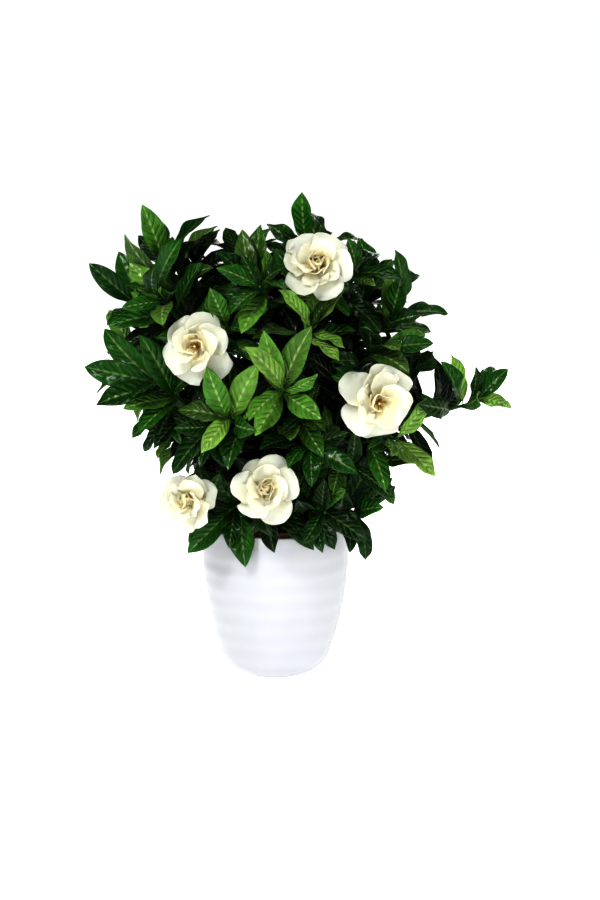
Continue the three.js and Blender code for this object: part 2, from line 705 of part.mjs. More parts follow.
// The leaf of a wish, swung by one of the sways.
function leafBlade(wish, k) {
  const { id, root } = wish;
  const chord = wish.tip.clone().sub(root);
  const outward = root.clone().add(wish.tip).multiplyScalar(0.5).sub(CROWN).normalize();
  const [out, light, random] = LEAF.facing;
  const face = outward.multiplyScalar(out).addScaledVector(LIGHT, light);
  face.x += jitter(id, 7, random);
  face.z += jitter(id, 8, random);
  face.normalize();
  const level = new THREE.Vector3().crossVectors(chord, face).normalize();
  const upright = new THREE.Vector3().crossVectors(level, chord).normalize();
  const [yaw, pitch] = SWAYS[k];
  chord.applyAxisAngle(upright, degrees(yaw)).applyAxisAngle(level, degrees(pitch));
  chord.multiplyScalar(1 - SWAY_SHRINK * k);
  const reach = chord.length();
  return {
    root,
    tip: root.clone().add(chord),
    face: upright,
    roll: degrees(jitter(id, 9, LEAF.roll)),
    arch: degrees(LEAF.arch + jitter(id, 4, LEAF.archSpread)),
    width: Math.min(LEAF.widest, reach * LEAF.ratio * (1 + jitter(id, 5, LEAF.widthSpread))),
    fold: degrees(LEAF.fold + jitter(id, 6, LEAF.foldSpread)),
    wave: LEAF.wave,
    waves: LEAF.waves,
    phase: draw(id, 10),
    shape: LEAF,
  };
}

// ---------------------------------------------------------------- assembly
const plant = new THREE.Group();

function addPiece(name, solid, look) {
  const mesh = new THREE.Mesh(geometryOf(solid), new THREE.MeshStandardMaterial({ ...COLOURS[look] }));
  mesh.name = name;
  plant.add(mesh);
  return mesh;
}

const boxesMeet = (a, b, margin) => {
  for (let i = 0; i < 3; i++) {
    if (a.min[i] > b.max[i] + margin || b.min[i] > a.max[i] + margin) return false;
  }
  return true;
};

// Whether a solid keeps its distance from every solid of a list.
function isClear(solid, others, gap) {
  const box = solid.boundingBox();
  return others.every(
    (other) => !boxesMeet(box, other.box, gap) || solid.minGap(other.solid, 2 * gap) >= gap,
  );
}

const obstacle = (solid, owner) => ({ solid, owner, box: solid.boundingBox() });

const cover = coverPot();
const grow = growPot();
const woodPiece = wood(0);
const woodSleeve = wood(GAP);
const soil = soilBody(woodSleeve);

const shoots = Object.entries(SHOOTS).map(shootLayout);
const standing = [cover, grow, soil, woodPiece].map((solid) => obstacle(solid, "base"));
for (const shoot of shoots.filter((s) => s.plan.bloom)) {
  shoot.corolla = bloomSolid(shoot);
  standing.push(obstacle(shoot.corolla, shoot.name + "_petals"));
}
for (const shoot of shoots) growTwig(shoot);

// A twig grows from the first point of the limbs that lets it pass the blooms and other twigs.
function growTwig(shoot) {
  const own = shoot.name + "_petals";
  const others = standing.filter((o) => o.owner !== "base" && o.owner !== own);
  for (const root of twigRoots(shoot.end)) {
    const path = twigPath(shoot, root);
    const twig = twigSolid(shoot, path);
    if (!isClear(twig.subtract(woodSleeve), others, TWIG.clear)) continue;
    Object.assign(shoot, { path, twig });
    standing.push(obstacle(twig.subtract(woodSleeve), shoot.name));
    return;
  }
}

function growLeaf(shoot, wish) {
  const others = standing.filter((o) => o.owner !== shoot.name);
  for (let k = 0; k < SWAYS.length; k++) {
    const blade = leafBlade(wish, k);
    const leaf = bladeSolid(blade);
    if (!isClear(leaf, others, LEAF.clear)) continue;
    const free = bladeSolid(blade, LEAF.free);
    if (!isClear(free, [...shoot.leaves, obstacle(shoot.twig)], LEAF.clear)) continue;
    shoot.leaves.push({ ...obstacle(free), whole: leaf });
    standing.push(obstacle(leaf, shoot.name));
    return true;
  }
  return false;
}

const wishes = shoots.flatMap((shoot) => leafWishes(shoot).map((wish) => ({ shoot, wish })));
wishes.sort((a, b) => b.wish.picked - a.wish.picked);
for (const { shoot, wish } of wishes) growLeaf(shoot, wish);

addPiece("cover_pot", cover, "cover_pot");
addPiece("grow_pot", grow, "grow_pot");
addPiece("soil", soil, "soil");
addPiece("trunk_and_limbs", woodPiece, "bark");
for (const shoot of shoots) {
  const joined = wasm.Manifold.union([shoot.twig, ...shoot.leaves.map((leaf) => leaf.whole)]);
  addPiece("shoot_" + shoot.name, mainBody(joined.subtract(woodSleeve)), "leaf");
  if (shoot.corolla) addPiece("petals_" + shoot.name.slice("bloom_".length), shoot.corolla, "petal");
}

export default plant;
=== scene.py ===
"""A gardenia bush in its grow pot, in a ribbed white cover pot.

The solids of the frame give every size and place. The leaves, twigs and petals are grown here by the
same rule as the solids, in millimetres, and each one is kept only where the solids hold its tip.
"""

from functools import cache, partial
from math import cos, pi, radians, sin
from types import SimpleNamespace as Record

import bpy
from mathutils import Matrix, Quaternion, Vector, kdtree
from mathutils.bvhtree import BVHTree


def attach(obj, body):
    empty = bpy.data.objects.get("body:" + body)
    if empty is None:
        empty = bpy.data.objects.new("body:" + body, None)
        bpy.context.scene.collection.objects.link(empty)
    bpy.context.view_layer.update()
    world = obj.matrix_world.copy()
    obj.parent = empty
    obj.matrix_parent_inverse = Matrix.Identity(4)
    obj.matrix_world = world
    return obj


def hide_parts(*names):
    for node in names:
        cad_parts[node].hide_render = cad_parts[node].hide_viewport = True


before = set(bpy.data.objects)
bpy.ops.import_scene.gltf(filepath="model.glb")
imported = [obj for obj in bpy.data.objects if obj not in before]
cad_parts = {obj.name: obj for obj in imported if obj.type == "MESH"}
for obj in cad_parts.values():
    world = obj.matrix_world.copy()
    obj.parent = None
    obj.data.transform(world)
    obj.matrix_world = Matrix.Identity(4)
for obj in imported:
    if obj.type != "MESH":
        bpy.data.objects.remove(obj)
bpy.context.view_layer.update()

bl_info = {
    "name": "Potted gardenia",
    "version": (1, 0, 0),
    "blender": (4, 5, 0),
    "location": "3D View > Sidebar > Gardenia",
    "description": "Dresses the solids of a potted gardenia with leaves, petals, glaze and soil",
    "category": "Object",
}

MM = 0.001
SEED = 7
UP = Vector((0, 0, 1))

# -------- pots and soil, in millimetres
COVER_POT = Record(
    height=174, rim_radius=84.5, foot_radius=51.5, flare=2.4, corner=36, corner_turn=70, corner_step=5,
    wall=6, floor=8, rib_pitch=20.5, rib_depth=0.8, ribs_from=24, ribs_to=147, rib_steps=12,
    edge=4, edge_taper=0.1, edge_round=2.4, inside_from=12, inside_step=8, floor_round=4,
    floor_spare=1.5,
)
GROW_POT = Record(
    foot=8.3, rim=178, rim_radius=72.5, base_radius=43.5, wall=1.8, lip=2, lip_height=9, lip_slope=1,
    edge_round=0.8, drain_radius=5, drain_circle=32, drains=4, sharp_from=40,
)
SOIL = Record(
    top=160, lump=2.4, wall_gap=0.6, floor_gap=0.3, trunk_gap=1.2, shoulder=4, rings=18, sides=96,
    crumbs_off_wall=3.5, crumbs_off_trunk=2.5, pit=1,
    waves=(0.13, 1, 0.11, 2),  # of the solid's lumps: turn per millimetre and start, along x and y
    fine_waves=((0.5, 0.61, 0.37), (0.35, -0.29, 0.83)),  # height, and turn per millimetre in x and y
)
CRUMBS = (  # name, finish, share of the panel's crumbs, smallest, largest and seed
    ("crumbs", "soil", 1.0, 0.9, 2.6, 3),
    ("perlite", "perlite", 0.12, 0.8, 1.8, 5),
)

# -------- the plant, in millimetres and degrees
CROWN = Vector((5, 0, 310))  # the middle of the foliage
CROWN_RADIUS = 200
LIGHT = Vector((-0.15, -0.7, 0.6))  # where the leaves turn their upper faces
TRUNK = Record(foot=112, middle=(0.8, -0.5, 150), fork=186, radius=7.5, taper=0.9)
LIMB = Record(start_radius=5.2, end_radius=3, below=6, out=0.3, up=0.45, steps=3)
TWIG = Record(start_radius=2.3, end_radius=1.5, bend=0.4, rise=0.35, steps=2)
TWIG_ROOTS = Record(first=3, last=120, step=9, drop=15)
CURVE_STEPS = 200
PER_SHOOT = 40  # numbers kept for the leaves or petals of one shoot
PER_RING = 10  # and for the petals of one ring
RULED_FROM = 20  # where the numbers of the leaves without a given tip start
TIP_PLACES = Record(first=2, step=8)
STEM_SIDE = Vector((0.3, 0.2, 1))  # turns about a stem are measured from here
PAIRS = Record(
    first=5, step=18, turn=97, turn_spread=18, shoot_turn=35, lean=48, lean_step=9, lean_spread=10,
)
LEAF = Record(
    length=66, length_spread=0.14, end_pair=0.86, ratio=0.38, width_spread=0.12, widest=31, sunk=0.6,
    base=1.4, point=0.8, facing=(0.6, 0.75, 0.3), roll=14, arch=38, arch_spread=24, fold=16,
    fold_spread=8, wave=1.6, waves=2.2,
)
FINE_LEAF = Record(base=1.35, point=1.0, extra_fold=5, tone_spread=0.75, shade_spread=0.45)
FINE_SHEET = {"neck": 1.1, "rib": 0.55, "sheet": 0.22, "ripple": 0.4, "ripples": 4.5}
LEAF_SKIN = {"Crumple": 0.3, "Crumple scale": 45.0, "Quilt": 0.06}
INNER_SKIN = {"Crumple": 0.3, "Crumple scale": 45.0}
TIP_REACH = 0.05  # how near a solid's corner a leaf's tip has to be
POINT_HALF = 0.25  # half width of the fine point of a blade
EDGE_SHARE = 0.2  # the edge waves in full where half the blade is at least this share of its width
EDGE_SHIFT = 0.35  # turns from the left edge's wave to the right edge's
RIB_TAPER = 0.8
VEINS = 8  # side veins on each side of a leaf
VEIN_LEAN = 0.2  # how far they run on towards the tip, as a share of the leaf's length
INNER_LEAF = Record(
    length=52, length_spread=0.25, ratio=0.4, lean=62, lean_spread=18, turn_spread=25, roll=20, arch=34,
    arch_spread=22, edge=0.85, twists=(0, 45, -45, 90, -90, 135), rows=7, ring_points=8,
    first_number=5000,
)
INNER_SHEET = {
    "fold": radians(18), "wave": 1.4, "waves": 2, "neck": 0.9, "rib": 0.4, "sheet": 0.2, "ripple": 0,
    "ripples": 1, "tone": 0,
}
# How dark the small leaves inside the crown are coloured, darker towards its middle: painted shade.
INNER_PAINTED_SHADE = Record(least=0.1, rise=0.42, spread=0.08)
# How the small leaves stand on each kind of stem: first place and last, pitch, leaves in a whorl, twist.
ON_LIMBS = (6, 8, 11, 3, 5.3)
ON_SPRAYS = (2, 4, 11, 2, 8)
ON_TWIGS = (20, 6, 13, 2, 7)
SPRAYS = (
    (-90, -5, 470), (-95, -15, 435), (150, -25, 350), (-40, 10, 472), (100, 10, 435), (55, -60, 225),
    (-60, -60, 240), (0, -60, 235), (-130, -20, 335), (-140, 60, 380), (135, 70, 360), (0, 110, 300),
    (-80, 100, 400), (85, 90, 430), (0, 60, 450), (60, 95, 260), (-95, 70, 255), (120, 0, 300),
    (-20, 0, 400), (60, 20, 380), (-60, 40, 300), (-30, -95, 330), (75, -90, 345), (20, -90, 245),
    (-105, 20, 455), (75, 40, 405), (65, -40, 400), (-60, 40, 445), (-90, -10, 450), (-110, 10, 400),
    (-60, -20, 420), (140, 10, 300), (95, 30, 450),
)
# A leaf that would cross another swings aside, by the first of these turns that clears it.
SWAYS = (
    (0, 0), (9, 0), (-9, 0), (0, 9), (0, -9), (16, 8), (-16, 8), (16, -8), (-16, -8), (0, 20), (26, 0),
    (-26, 0), (0, -22), (34, 16), (-34, 16), (34, -16), (-34, -16), (48, 0), (-48, 0), (20, 32),
    (-20, 32), (20, -32), (-20, -32), (50, 26), (-50, 26), (50, -26), (-50, -26),
)
SWAY_SHRINK = 0.015  # share that a leaf is shorter for each turn it has tried

CALYX = Record(length=9, radius=4.4, sunk=2, swell=((0.3, 3), (0.7, 4)))
SEPAL = Record(count=6, turn_spread=12, length=12, lean=4, width=2.6, arch=20, fold=4, tone=0.6)
SEPAL_SHAPE = Record(base=0.3, point=0.8)
TUBE = Record(length=24, radius=2.6, neck=3.4, mouth=5, gap=0.3)
THROAT_STEP = 2.5
PETAL = Record(
    turn=40, turn_spread=7, tilt_spread=8, length_spread=0.08, arch_spread=10, width_spread=0.08,
    overlap=15, wave=0.04, waves=1.5, base=0.95, point=0.34, point_spread=0.5, widened=1.22,
    cup_spread=5, swing=9, sway=10, stretch=0.13, roll_spread=14,
)
PETAL_SHEET = {"neck": 3.6, "rib": 0.2, "sheet": 0.36}
PETAL_SKIN = {"Crumple": 0.42, "Crumple scale": 46.0, "Cup": 1.0}
# Rings of petals, from the outside in. A ring's length, width and wave are shares of the bloom's sizes.
RING_SIZES = (
    "count", "tilt", "length", "width", "curl", "turn", "cup", "loose", "wave", "ripple", "ripples",
)
OUTER_RINGS, HEART_RINGS = (
    [Record(**dict(zip(RING_SIZES, row))) for row in rows] for rows in (
        (
            (6, 84, 1.0, 0.8, 30, 0, 10, 1, 1.4, 2.1, 2.6),
            (5, 58, 0.8, 0.66, 15, 25, 18, 1, 1.2, 1.6, 2.4),
            (4, 32, 0.56, 0.5, -40, 10, 32, 0.6, 0.8, 0.8, 2.2),
        ),
        (
            (3, 16, 0.5, 0.62, -58, 30, 48, 0.3, 0.35, 0.2, 2),
            (2, 6, 0.44, 0.5, -60, 75, 56, 0.3, 0.2, 0.1, 2),
        ),
    )
)
OPEN_BLOOMS = ("bloom_left", "bloom_right")
BLOOM_ROOM = Record(share=0.95, ahead=8, tested=(0.4, 0.75, 1))
STAMENS = Record(
    count=7, turn=51, turn_spread=15, foot=2, length=13, length_spread=2, lean=6, lean_spread=1.5,
    bow=0.8,
)
PISTIL = ((0, 0.8), (9, 0.9), (12, 1.6), (15, 0.7))  # height and radius

# -------- the stage, in metres
LOOK_AT = Vector((0.0277, 0, 0.257))
CAMERA_RISE = 11
LAMPS = (  # name, place, target, width, watts and spread in degrees
    ("key", (-1.1, -2.0, 2.1), (0, 0, 0.3), 0.7, 46, 180),
    ("fill", (1.9, -1.8, 1.0), (0, 0, 0.25), 1.2, 12, 180),
    ("top", (0.3, 0.5, 2.5), (0, 0, 0.3), 0.7, 12, 180),
    ("back", (0.9, 2.2, 1.3), (0, 0, 0.25), 1.2, 18, 180),
    ("pot", (0.4, -2.3, 0.24), (0.01, 0, 0.1), 0.4, 0.1, 12),
)
ROOM = Record(low=0.1, high=0.6, below=1.02, above=0.36, mirrored=0.18)
GAMMA = 0.6

LIMBS = {
    "west": (-80, -55, 290),
    "west_high": (-85, -35, 395),
    "front": (0, -70, 290),
    "top": (15, -20, 430),
    "east": (80, -45, 285),
    "east_high": (80, -20, 365),
    "back_west": (-85, 60, 330),
    "back": (5, 85, 390),
    "back_east": (85, 65, 320),
}


def planned(end, *tips, more=6, young=0, look=None, bloom=None):
    """A shoot that ends here, with leaves out to these tips and some more, and how young they are.

    A bloom is given by its radius and by how far it opens, in degrees.
    """
    return Record(end=Vector(end), tips=[Vector(tip) for tip in tips], more=more, young=young,
                  look=look, bloom=bloom)


SHOOTS = {
    "top_left": planned(
        (-120, -60, 475), (-140, -90, 540), (-155, -50, 520), (-70, -45, 525), (-100, -90, 525),
        (-150, -100, 510), young=-0.1,
    ),
    "upper_left": planned(
        (-125, -110, 450), (-95, -150, 510), (-130, -140, 485), (-170, -110, 440), (-115, -160, 420),
        young=0.15,
    ),
    "far_left": planned((-150, -55, 430), (-200, -65, 475), (-170, -40, 485), (-185, -60, 420)),
    "left": planned(
        (-125, -95, 350), (-205, -85, 365), (-195, -100, 335), (-175, -60, 415), (-155, -130, 400),
        (-160, -130, 335), young=0.1,
    ),
    "low_left": planned(
        (-115, -75, 315), (-155, -80, 285), (-145, -50, 265), (-100, -110, 285), young=-0.2,
    ),
    "bottom_left": planned((-65, -105, 305), (-110, -100, 250), (-50, -140, 265), young=-0.2),
    "rim_left": planned(
        (-50, -80, 205), (-95, -100, 162), (-75, -112, 174), (-30, -118, 188), young=-0.5,
    ),
    "rim_front": planned((-5, -80, 205), (0, -112, 165), (20, -110, 180), young=-0.4),
    "rim_right": planned(
        (55, -90, 205), (40, -105, 175), (65, -115, 165), (95, -95, 165), (35, -130, 230),
        (80, -120, 225), young=-0.2,
    ),
    "right_bottom": planned(
        (95, -60, 195), (125, -55, 200), (125, -75, 225), (130, -50, 235), (120, -60, 265),
        (75, -110, 235), young=-0.2,
    ),
    "centre_low": planned(
        (40, -115, 285), (40, -145, 245), (15, -145, 265), (60, -135, 255), (75, -120, 280),
    ),
    "centre_dark": planned((40, -100, 320), (35, -140, 345), (75, -135, 320), (10, -135, 305)),
    "centre": planned((10, -145, 350), (-30, -175, 400), (-10, -160, 415), (40, -165, 420), young=0.55),
    "centre_left": planned(
        (-50, -120, 315), (-70, -150, 375), (-15, -155, 380), (-20, -165, 340), (-90, -150, 325),
        young=0.3,
    ),
    "mid_left": planned((-50, -120, 415), (-75, -145, 455), (-30, -150, 400), young=0.4),
    "mid_top": planned(
        (-15, -110, 455), (15, -115, 490), (-45, -150, 430), (-40, -130, 490), young=0.3,
    ),
    "mid_right": planned((40, -115, 410), (5, -140, 455), (80, -140, 450), (65, -145, 385), young=0.35),
    "top_mid": planned(
        (-30, -60, 445), (-60, -95, 490), (-35, -50, 510), (-15, -45, 515), (-70, -55, 480),
    ),
    "top": planned(
        (35, -25, 495), (30, -45, 550), (15, -20, 525), (55, -50, 515), (-10, -20, 510), (65, -5, 525),
        young=-0.2,
    ),
    "right_top": planned(
        (90, -60, 465), (90, -75, 500), (125, -80, 465), (95, -30, 495), (110, -100, 450),
    ),
    "far_right": planned(
        (135, -45, 420), (130, -70, 490), (150, -60, 480), (175, -35, 455), (165, -45, 430),
        (110, -90, 450), young=0.2,
    ),
    "right": planned(
        (120, -70, 385), (145, -40, 400), (165, -45, 395), (145, -125, 390), (155, -110, 365),
        young=0.2,
    ),
    "branch": planned(
        (225, -40, 320), (270, -40, 345), (225, -60, 360), (195, -20, 370), (180, -80, 370),
        (155, -90, 325), more=3, young=0.2,
    ),
    "right_low": planned(
        (135, -80, 285), (175, -90, 245), (125, -125, 275), (100, -115, 280), young=0.25,
    ),
    "low_right": planned((85, -85, 255), (120, -90, 270), (100, -120, 245), (120, -60, 245)),
    "side_left": planned((-165, 20, 370), more=9, young=0.2),
    "side_low": planned((-120, 25, 270), more=8),
    "back_left": planned((-125, 100, 430), more=9),
    "back_low": planned((-60, 120, 245), more=8),
    "back_mid": planned((-30, 160, 350), more=8, young=0.25),
    "back_top": planned((-50, 65, 468), more=9),
    "crest": planned((60, 60, 485), more=9, young=0.2),
    "back_right": planned((112, 105, 395), more=9),
    "back_foot": planned((75, 115, 230), more=8),
    "side_right": planned((150, 40, 320), more=8, young=0.2),
    "side_foot": planned((118, 35, 235), more=7),
    "left_crown": planned((-115, 25, 480), more=8, young=0.2),
    "right_crown": planned((112, 35, 440), more=8),
    "back_side": planned((-130, 90, 315), more=8),
    "back_high": planned((50, 130, 430), more=8, young=0.3),
    "back_centre": planned((45, 160, 320), more=8),
    "bloom_left": planned((-80, -135, 395), more=5, look=(-0.2, -1, 0.1), bloom=(40, 0)),
    "bloom_top": planned((45, -105, 473), more=5, look=(0.05, -0.85, 0.5), bloom=(40, -4)),
    "bloom_right": planned(
        (110, -135, 335), (60, -140, 355), more=4, look=(0.1, -1, 0.05), bloom=(43, 4),
    ),
    "bloom_low_left": planned(
        (-90, -105, 222), (-105, -135, 260), more=4, young=-0.3, look=(-0.35, -0.8, 0.2),
        bloom=(36, -14),
    ),
    "bloom_low": planned((-10, -132, 238), more=5, young=-0.3, look=(0.1, -0.9, 0.35), bloom=(39, -6)),
    "bloom_back": planned((-45, 140, 430), more=5, look=(-0.3, 0.8, 0.5), bloom=(40, 0)),
    "bloom_back_right": planned((110, 125, 300), more=5, look=(0.6, 0.8, 0.1), bloom=(38, -6)),
}

# -------- the rule that the plant grows by
def draw(number, turn):
    """A repeatable draw from 0 to 1 for a numbered leaf or petal."""
    word = 0xFFFFFFFF
    n = ((number * 31 + turn * 1013 + SEED) * 2654435761) & word
    n = ((n ^ (n >> 15)) * 2246822519) & word
    n = ((n ^ (n >> 13)) * 3266489917) & word
    return (n ^ (n >> 16)) / 4294967296


def jitter(number, turn, spread):
    return (2 * draw(number, turn) - 1) * spread


def turned(vector, axis, angle):
    return Quaternion(axis, angle) @ vector


def curve_point(start, bend, end, t):
    """The point of a quadratic curve at a share t of its run."""
    return start * (1 - t) ** 2 + bend * (2 * t * (1 - t)) + end * t * t


def spaced_points(start, bend, end, steps):
    """Points along a quadratic curve, evenly spaced by its length."""
    points = [curve_point(start, bend, end, i / CURVE_STEPS) for i in range(CURVE_STEPS + 1)]
    lengths = [0.0]
    for a, b in zip(points, points[1:]):
        lengths.append(lengths[-1] + (b - a).length)
    spaced = []
    for i in range(steps + 1):
        goal = lengths[-1] * i / steps
        k = min(CURVE_STEPS - 1, max(j for j, length in enumerate(lengths) if length <= goal + 1e-9))
        t = (k + (goal - lengths[k]) / (lengths[k + 1] - lengths[k])) / CURVE_STEPS
        spaced.append(curve_point(start, bend, end, t))
    return spaced


def path_length(path):
    return sum((b - a).length for a, b in zip(path, path[1:]))


def along_path(path, back):
    """The point and direction on a path, at a distance back from its end."""
    left = back
    for i in range(len(path) - 1, 0, -1):
        step = path[i] - path[i - 1]
        length = step.length
        step.normalize()
        if left < length or i == 1:
            return path[i] - step * min(left, 0.8 * length), step
        left -= length
    raise ValueError("a path needs two points")


def off_stem(axis, turn, lean):
    """The direction of a leaf that leans off its stem, at a turn about it."""
    out = turned(STEM_SIDE.cross(axis).normalized(), axis, turn)
    return axis * cos(lean) + out * sin(lean)


def level_across(look):
    """The level direction across a look, from which turns about it are measured."""
    return UP.cross(look).normalized()


def leafy_look(end):
    """The way a leafy shoot points: out of the crown and a little up."""
    return ((end - CROWN).normalized() + UP * TWIG.rise).normalized()


def limb_paths():
    paths = {}
    for name, (x, y, z) in LIMBS.items():
        start = UP * (TRUNK.fork - LIMB.below)
        rise = Vector((x * LIMB.out, y * LIMB.out, TRUNK.fork + (z - TRUNK.fork) * LIMB.up))
        paths[name] = spaced_points(start, rise, Vector((x, y, z)), LIMB.steps)
    return paths


def shoot_layout(name, plan, number):
    look = Vector(plan.look).normalized() if plan.look else leafy_look(plan.end)
    end = plan.end - look * (TUBE.length + CALYX.length) if plan.bloom else plan.end
    return Record(name=name, plan=plan, number=number, look=look, throat=plan.end, end=end)


def twig_roots(end, limbs):
    """Places on the limbs where a twig may start, the likeliest first."""
    roots = []
    for path in limbs.values():
        for back in range(TWIG_ROOTS.first, TWIG_ROOTS.last, TWIG_ROOTS.step):
            point, _ = along_path(path, back)
            detour = (point - end).length + 2 * max(0, point.z + TWIG_ROOTS.drop - end.z)
            roots.append((detour, len(roots), point))
    return [point for _, _, point in sorted(roots, key=lambda root: root[:2])]


def twig_path(end, look, root):
    bend = end - look * (TWIG.bend * (root - end).length)
    return spaced_points(root, bend, end, TWIG.steps)


def leaf_wishes(shoot, path):
    """The leaves that a shoot should carry, before any of them swings clear of its neighbours."""
    wishes = []
    for i, tip in enumerate(shoot.plan.tips):
        root, _ = along_path(path, TIP_PLACES.first + TIP_PLACES.step * i)
        root -= (tip - root).normalized() * LEAF.sunk
        wishes.append((shoot.number * PER_SHOOT + i, root, tip, True))
    for i in range(shoot.plan.more):
        number = shoot.number * PER_SHOOT + RULED_FROM + i
        pair = i // 2
        point, axis = along_path(path, PAIRS.first + PAIRS.step * pair)
        turn = PAIRS.turn * pair + 180 * (i % 2) + PAIRS.shoot_turn * shoot.number
        turn += jitter(number, 1, PAIRS.turn_spread)
        lean = PAIRS.lean + PAIRS.lean_step * pair + jitter(number, 2, PAIRS.lean_spread)
        heading = off_stem(axis, radians(turn), radians(lean))
        reach = LEAF.length * (1 + jitter(number, 3, LEAF.length_spread))
        reach *= LEAF.end_pair if pair == 0 else 1
        root = point - heading * LEAF.sunk
        wishes.append((number, root, root + heading * reach, False))
    return wishes


def leaf_blade(wish, k):
    """The leaf of a wish, swung by one of the sways."""
    number, root, tip, _ = wish
    chord = tip - root
    outward, lightward, random = LEAF.facing
    face = ((root + tip) / 2 - CROWN).normalized() * outward + LIGHT * lightward
    face.x += jitter(number, 7, random)
    face.z += jitter(number, 8, random)
    face.normalize()
    level = chord.cross(face).normalized()
    upright = level.cross(chord).normalized()
    yaw, pitch = SWAYS[k]
    chord = turned(turned(chord, upright, radians(yaw)), level, radians(pitch)) * (1 - SWAY_SHRINK * k)
    width = chord.length * LEAF.ratio * (1 + jitter(number, 5, LEAF.width_spread))
    return Record(
        number=number, root=root, tip=root + chord, face=upright, shape=LEAF,
        roll=radians(jitter(number, 9, LEAF.roll)), width=min(LEAF.widest, width),
        arch=radians(LEAF.arch + jitter(number, 4, LEAF.arch_spread)),
        fold=radians(LEAF.fold + jitter(number, 6, LEAF.fold_spread)),
        wave=LEAF.wave, waves=LEAF.waves, phase=draw(number, 10),
    )


def petal_blades(shoot, rings):
    """The petals of a bloom, the outer ring first."""
    radius, opened = shoot.plan.bloom
    across = level_across(shoot.look)

    def heading(turn, tilt):
        return shoot.look * cos(tilt) + turned(across, shoot.look, radians(turn)) * sin(tilt)

    blades = []
    for r, ring in enumerate(rings):
        root = shoot.throat + shoot.look * (THROAT_STEP * (r - 1))
        for i in range(ring.count):
            number = shoot.number * PER_SHOOT + r * PER_RING + i
            turn = ring.turn + PETAL.turn * shoot.number + 360 / ring.count * i
            turn += jitter(number, 1, PETAL.turn_spread)
            tilt = radians(ring.tilt + opened + jitter(number, 2, PETAL.tilt_spread))
            length = radius * ring.length * (1 + jitter(number, 3, PETAL.length_spread))
            blades.append(Record(
                number=number, ring=ring, root=root, tip=root + heading(turn, tilt) * length,
                face=heading(turn, tilt - pi / 2), roll=radians(PETAL.overlap),
                arch=radians(ring.curl + jitter(number, 4, PETAL.arch_spread)),
                width=radius * ring.width * (1 + jitter(number, 5, PETAL.width_spread)),
                wave=radius * PETAL.wave, waves=PETAL.waves, phase=draw(number, 6), tone=r / 4, shade=1,
            ))
    return blades


def blade_rows(blade, shares):
    """The middle, side and upper direction of a blade at each share of its length."""
    chord = blade.tip - blade.root
    reach = chord.length
    chord.normalize()
    face = (blade.face - chord * blade.face.dot(chord)).normalized()
    face = turned(face, chord, blade.roll)
    half = blade.arch / 2
    length = reach * half / sin(half)
    along = chord * cos(half) + face * sin(half)
    up = face * cos(half) - chord * sin(half)
    side = along.cross(up)
    rows = []
    for u in shares:
        bend = blade.arch * u
        middle = blade.root + along * (length * sin(bend) / blade.arch)
        middle -= up * (length * (1 - cos(bend)) / blade.arch)
        rows.append((middle, side, up * cos(bend) + along * sin(bend)))
    return rows


def outline(u, shape):
    """The width of a blade at a share of its length, as a share of its full width."""
    widest = shape.base / (shape.base + shape.point)
    peak = widest**shape.base * (1 - widest) ** shape.point
    return u**shape.base * (1 - u) ** shape.point / peak


def tips_of(name):
    """A search tree over a solid's corners, in millimetres."""
    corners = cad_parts[name].data.vertices
    tree = kdtree.KDTree(len(corners))
    for i, corner in enumerate(corners):
        tree.insert(corner.co / MM, i)
    tree.balance()
    return tree


def grown_leaves(shoot, path, corners):
    """The leaves whose tips the shoot's solid holds, and how many of them the rule placed."""
    leaves = []
    ruled = 0
    for wish in leaf_wishes(shoot, path):
        for k in range(len(SWAYS)):
            blade = leaf_blade(wish, k)
            if corners.find(blade.tip)[2] < TIP_REACH:
                leaves.append(blade)
                ruled += not wish[3]
                break
    return leaves, ruled


@cache
def plant():
    """The limbs, and every shoot with its twig and leaves as they stand in the solids, grown once."""
    limbs = limb_paths()
    shoots = []
    for number, (name, plan) in enumerate(SHOOTS.items()):
        shoot = shoot_layout(name, plan, number)
        corners = tips_of("shoot_" + name)
        best = -1
        for root in twig_roots(shoot.end, limbs):
            path = twig_path(shoot.end, shoot.look, root)
            leaves, ruled = grown_leaves(shoot, path, corners)
            if ruled > best:
                best = ruled
                shoot.path = path
                shoot.leaves = leaves
            if ruled > plan.more / 2:
                break
        if best < 1:
            raise ValueError(f"shoot {name} doesn't match its solid")
        shoots.append(shoot)
    return limbs, shoots


# -------- nodes and meshes
# The nodes that are used most, with their operation after a dot.
ADD = "ShaderNodeMath.ADD"
SUBTRACT = "ShaderNodeMath.SUBTRACT"
MULTIPLY = "ShaderNodeMath.MULTIPLY"
MULTIPLY_ADD = "ShaderNodeMath.MULTIPLY_ADD"
POWER = "ShaderNodeMath.POWER"
SINE = "ShaderNodeMath.SINE"
ABSOLUTE = "ShaderNodeMath.ABSOLUTE"
MAXIMUM = "ShaderNodeMath.MAXIMUM"
GREATER_THAN = "ShaderNodeMath.GREATER_THAN"
VECTOR_ADD = "ShaderNodeVectorMath.ADD"
SCALE = "ShaderNodeVectorMath.SCALE"
LENGTH = "ShaderNodeVectorMath.LENGTH"
MIX = "ShaderNodeMix"
RANGE = "ShaderNodeMapRange"
NOISE = "ShaderNodeTexNoise"
BUMP = "ShaderNodeBump"
OWN = "ShaderNodeAttribute"
PLACE = "ShaderNodeTexCoord"
SPLIT = "ShaderNodeSeparateXYZ"
FIELD = "GeometryNodeInputNamedAttribute"
STORE = "GeometryNodeStoreNamedAttribute"
CIRCLE = "GeometryNodeCurvePrimitiveCircle"
SWEEP = "GeometryNodeCurveToMesh"
MOVE = "GeometryNodeSetPosition"
SMOOTH = "GeometryNodeSetShadeSmooth"
RANDOM = "FunctionNodeRandomValue"


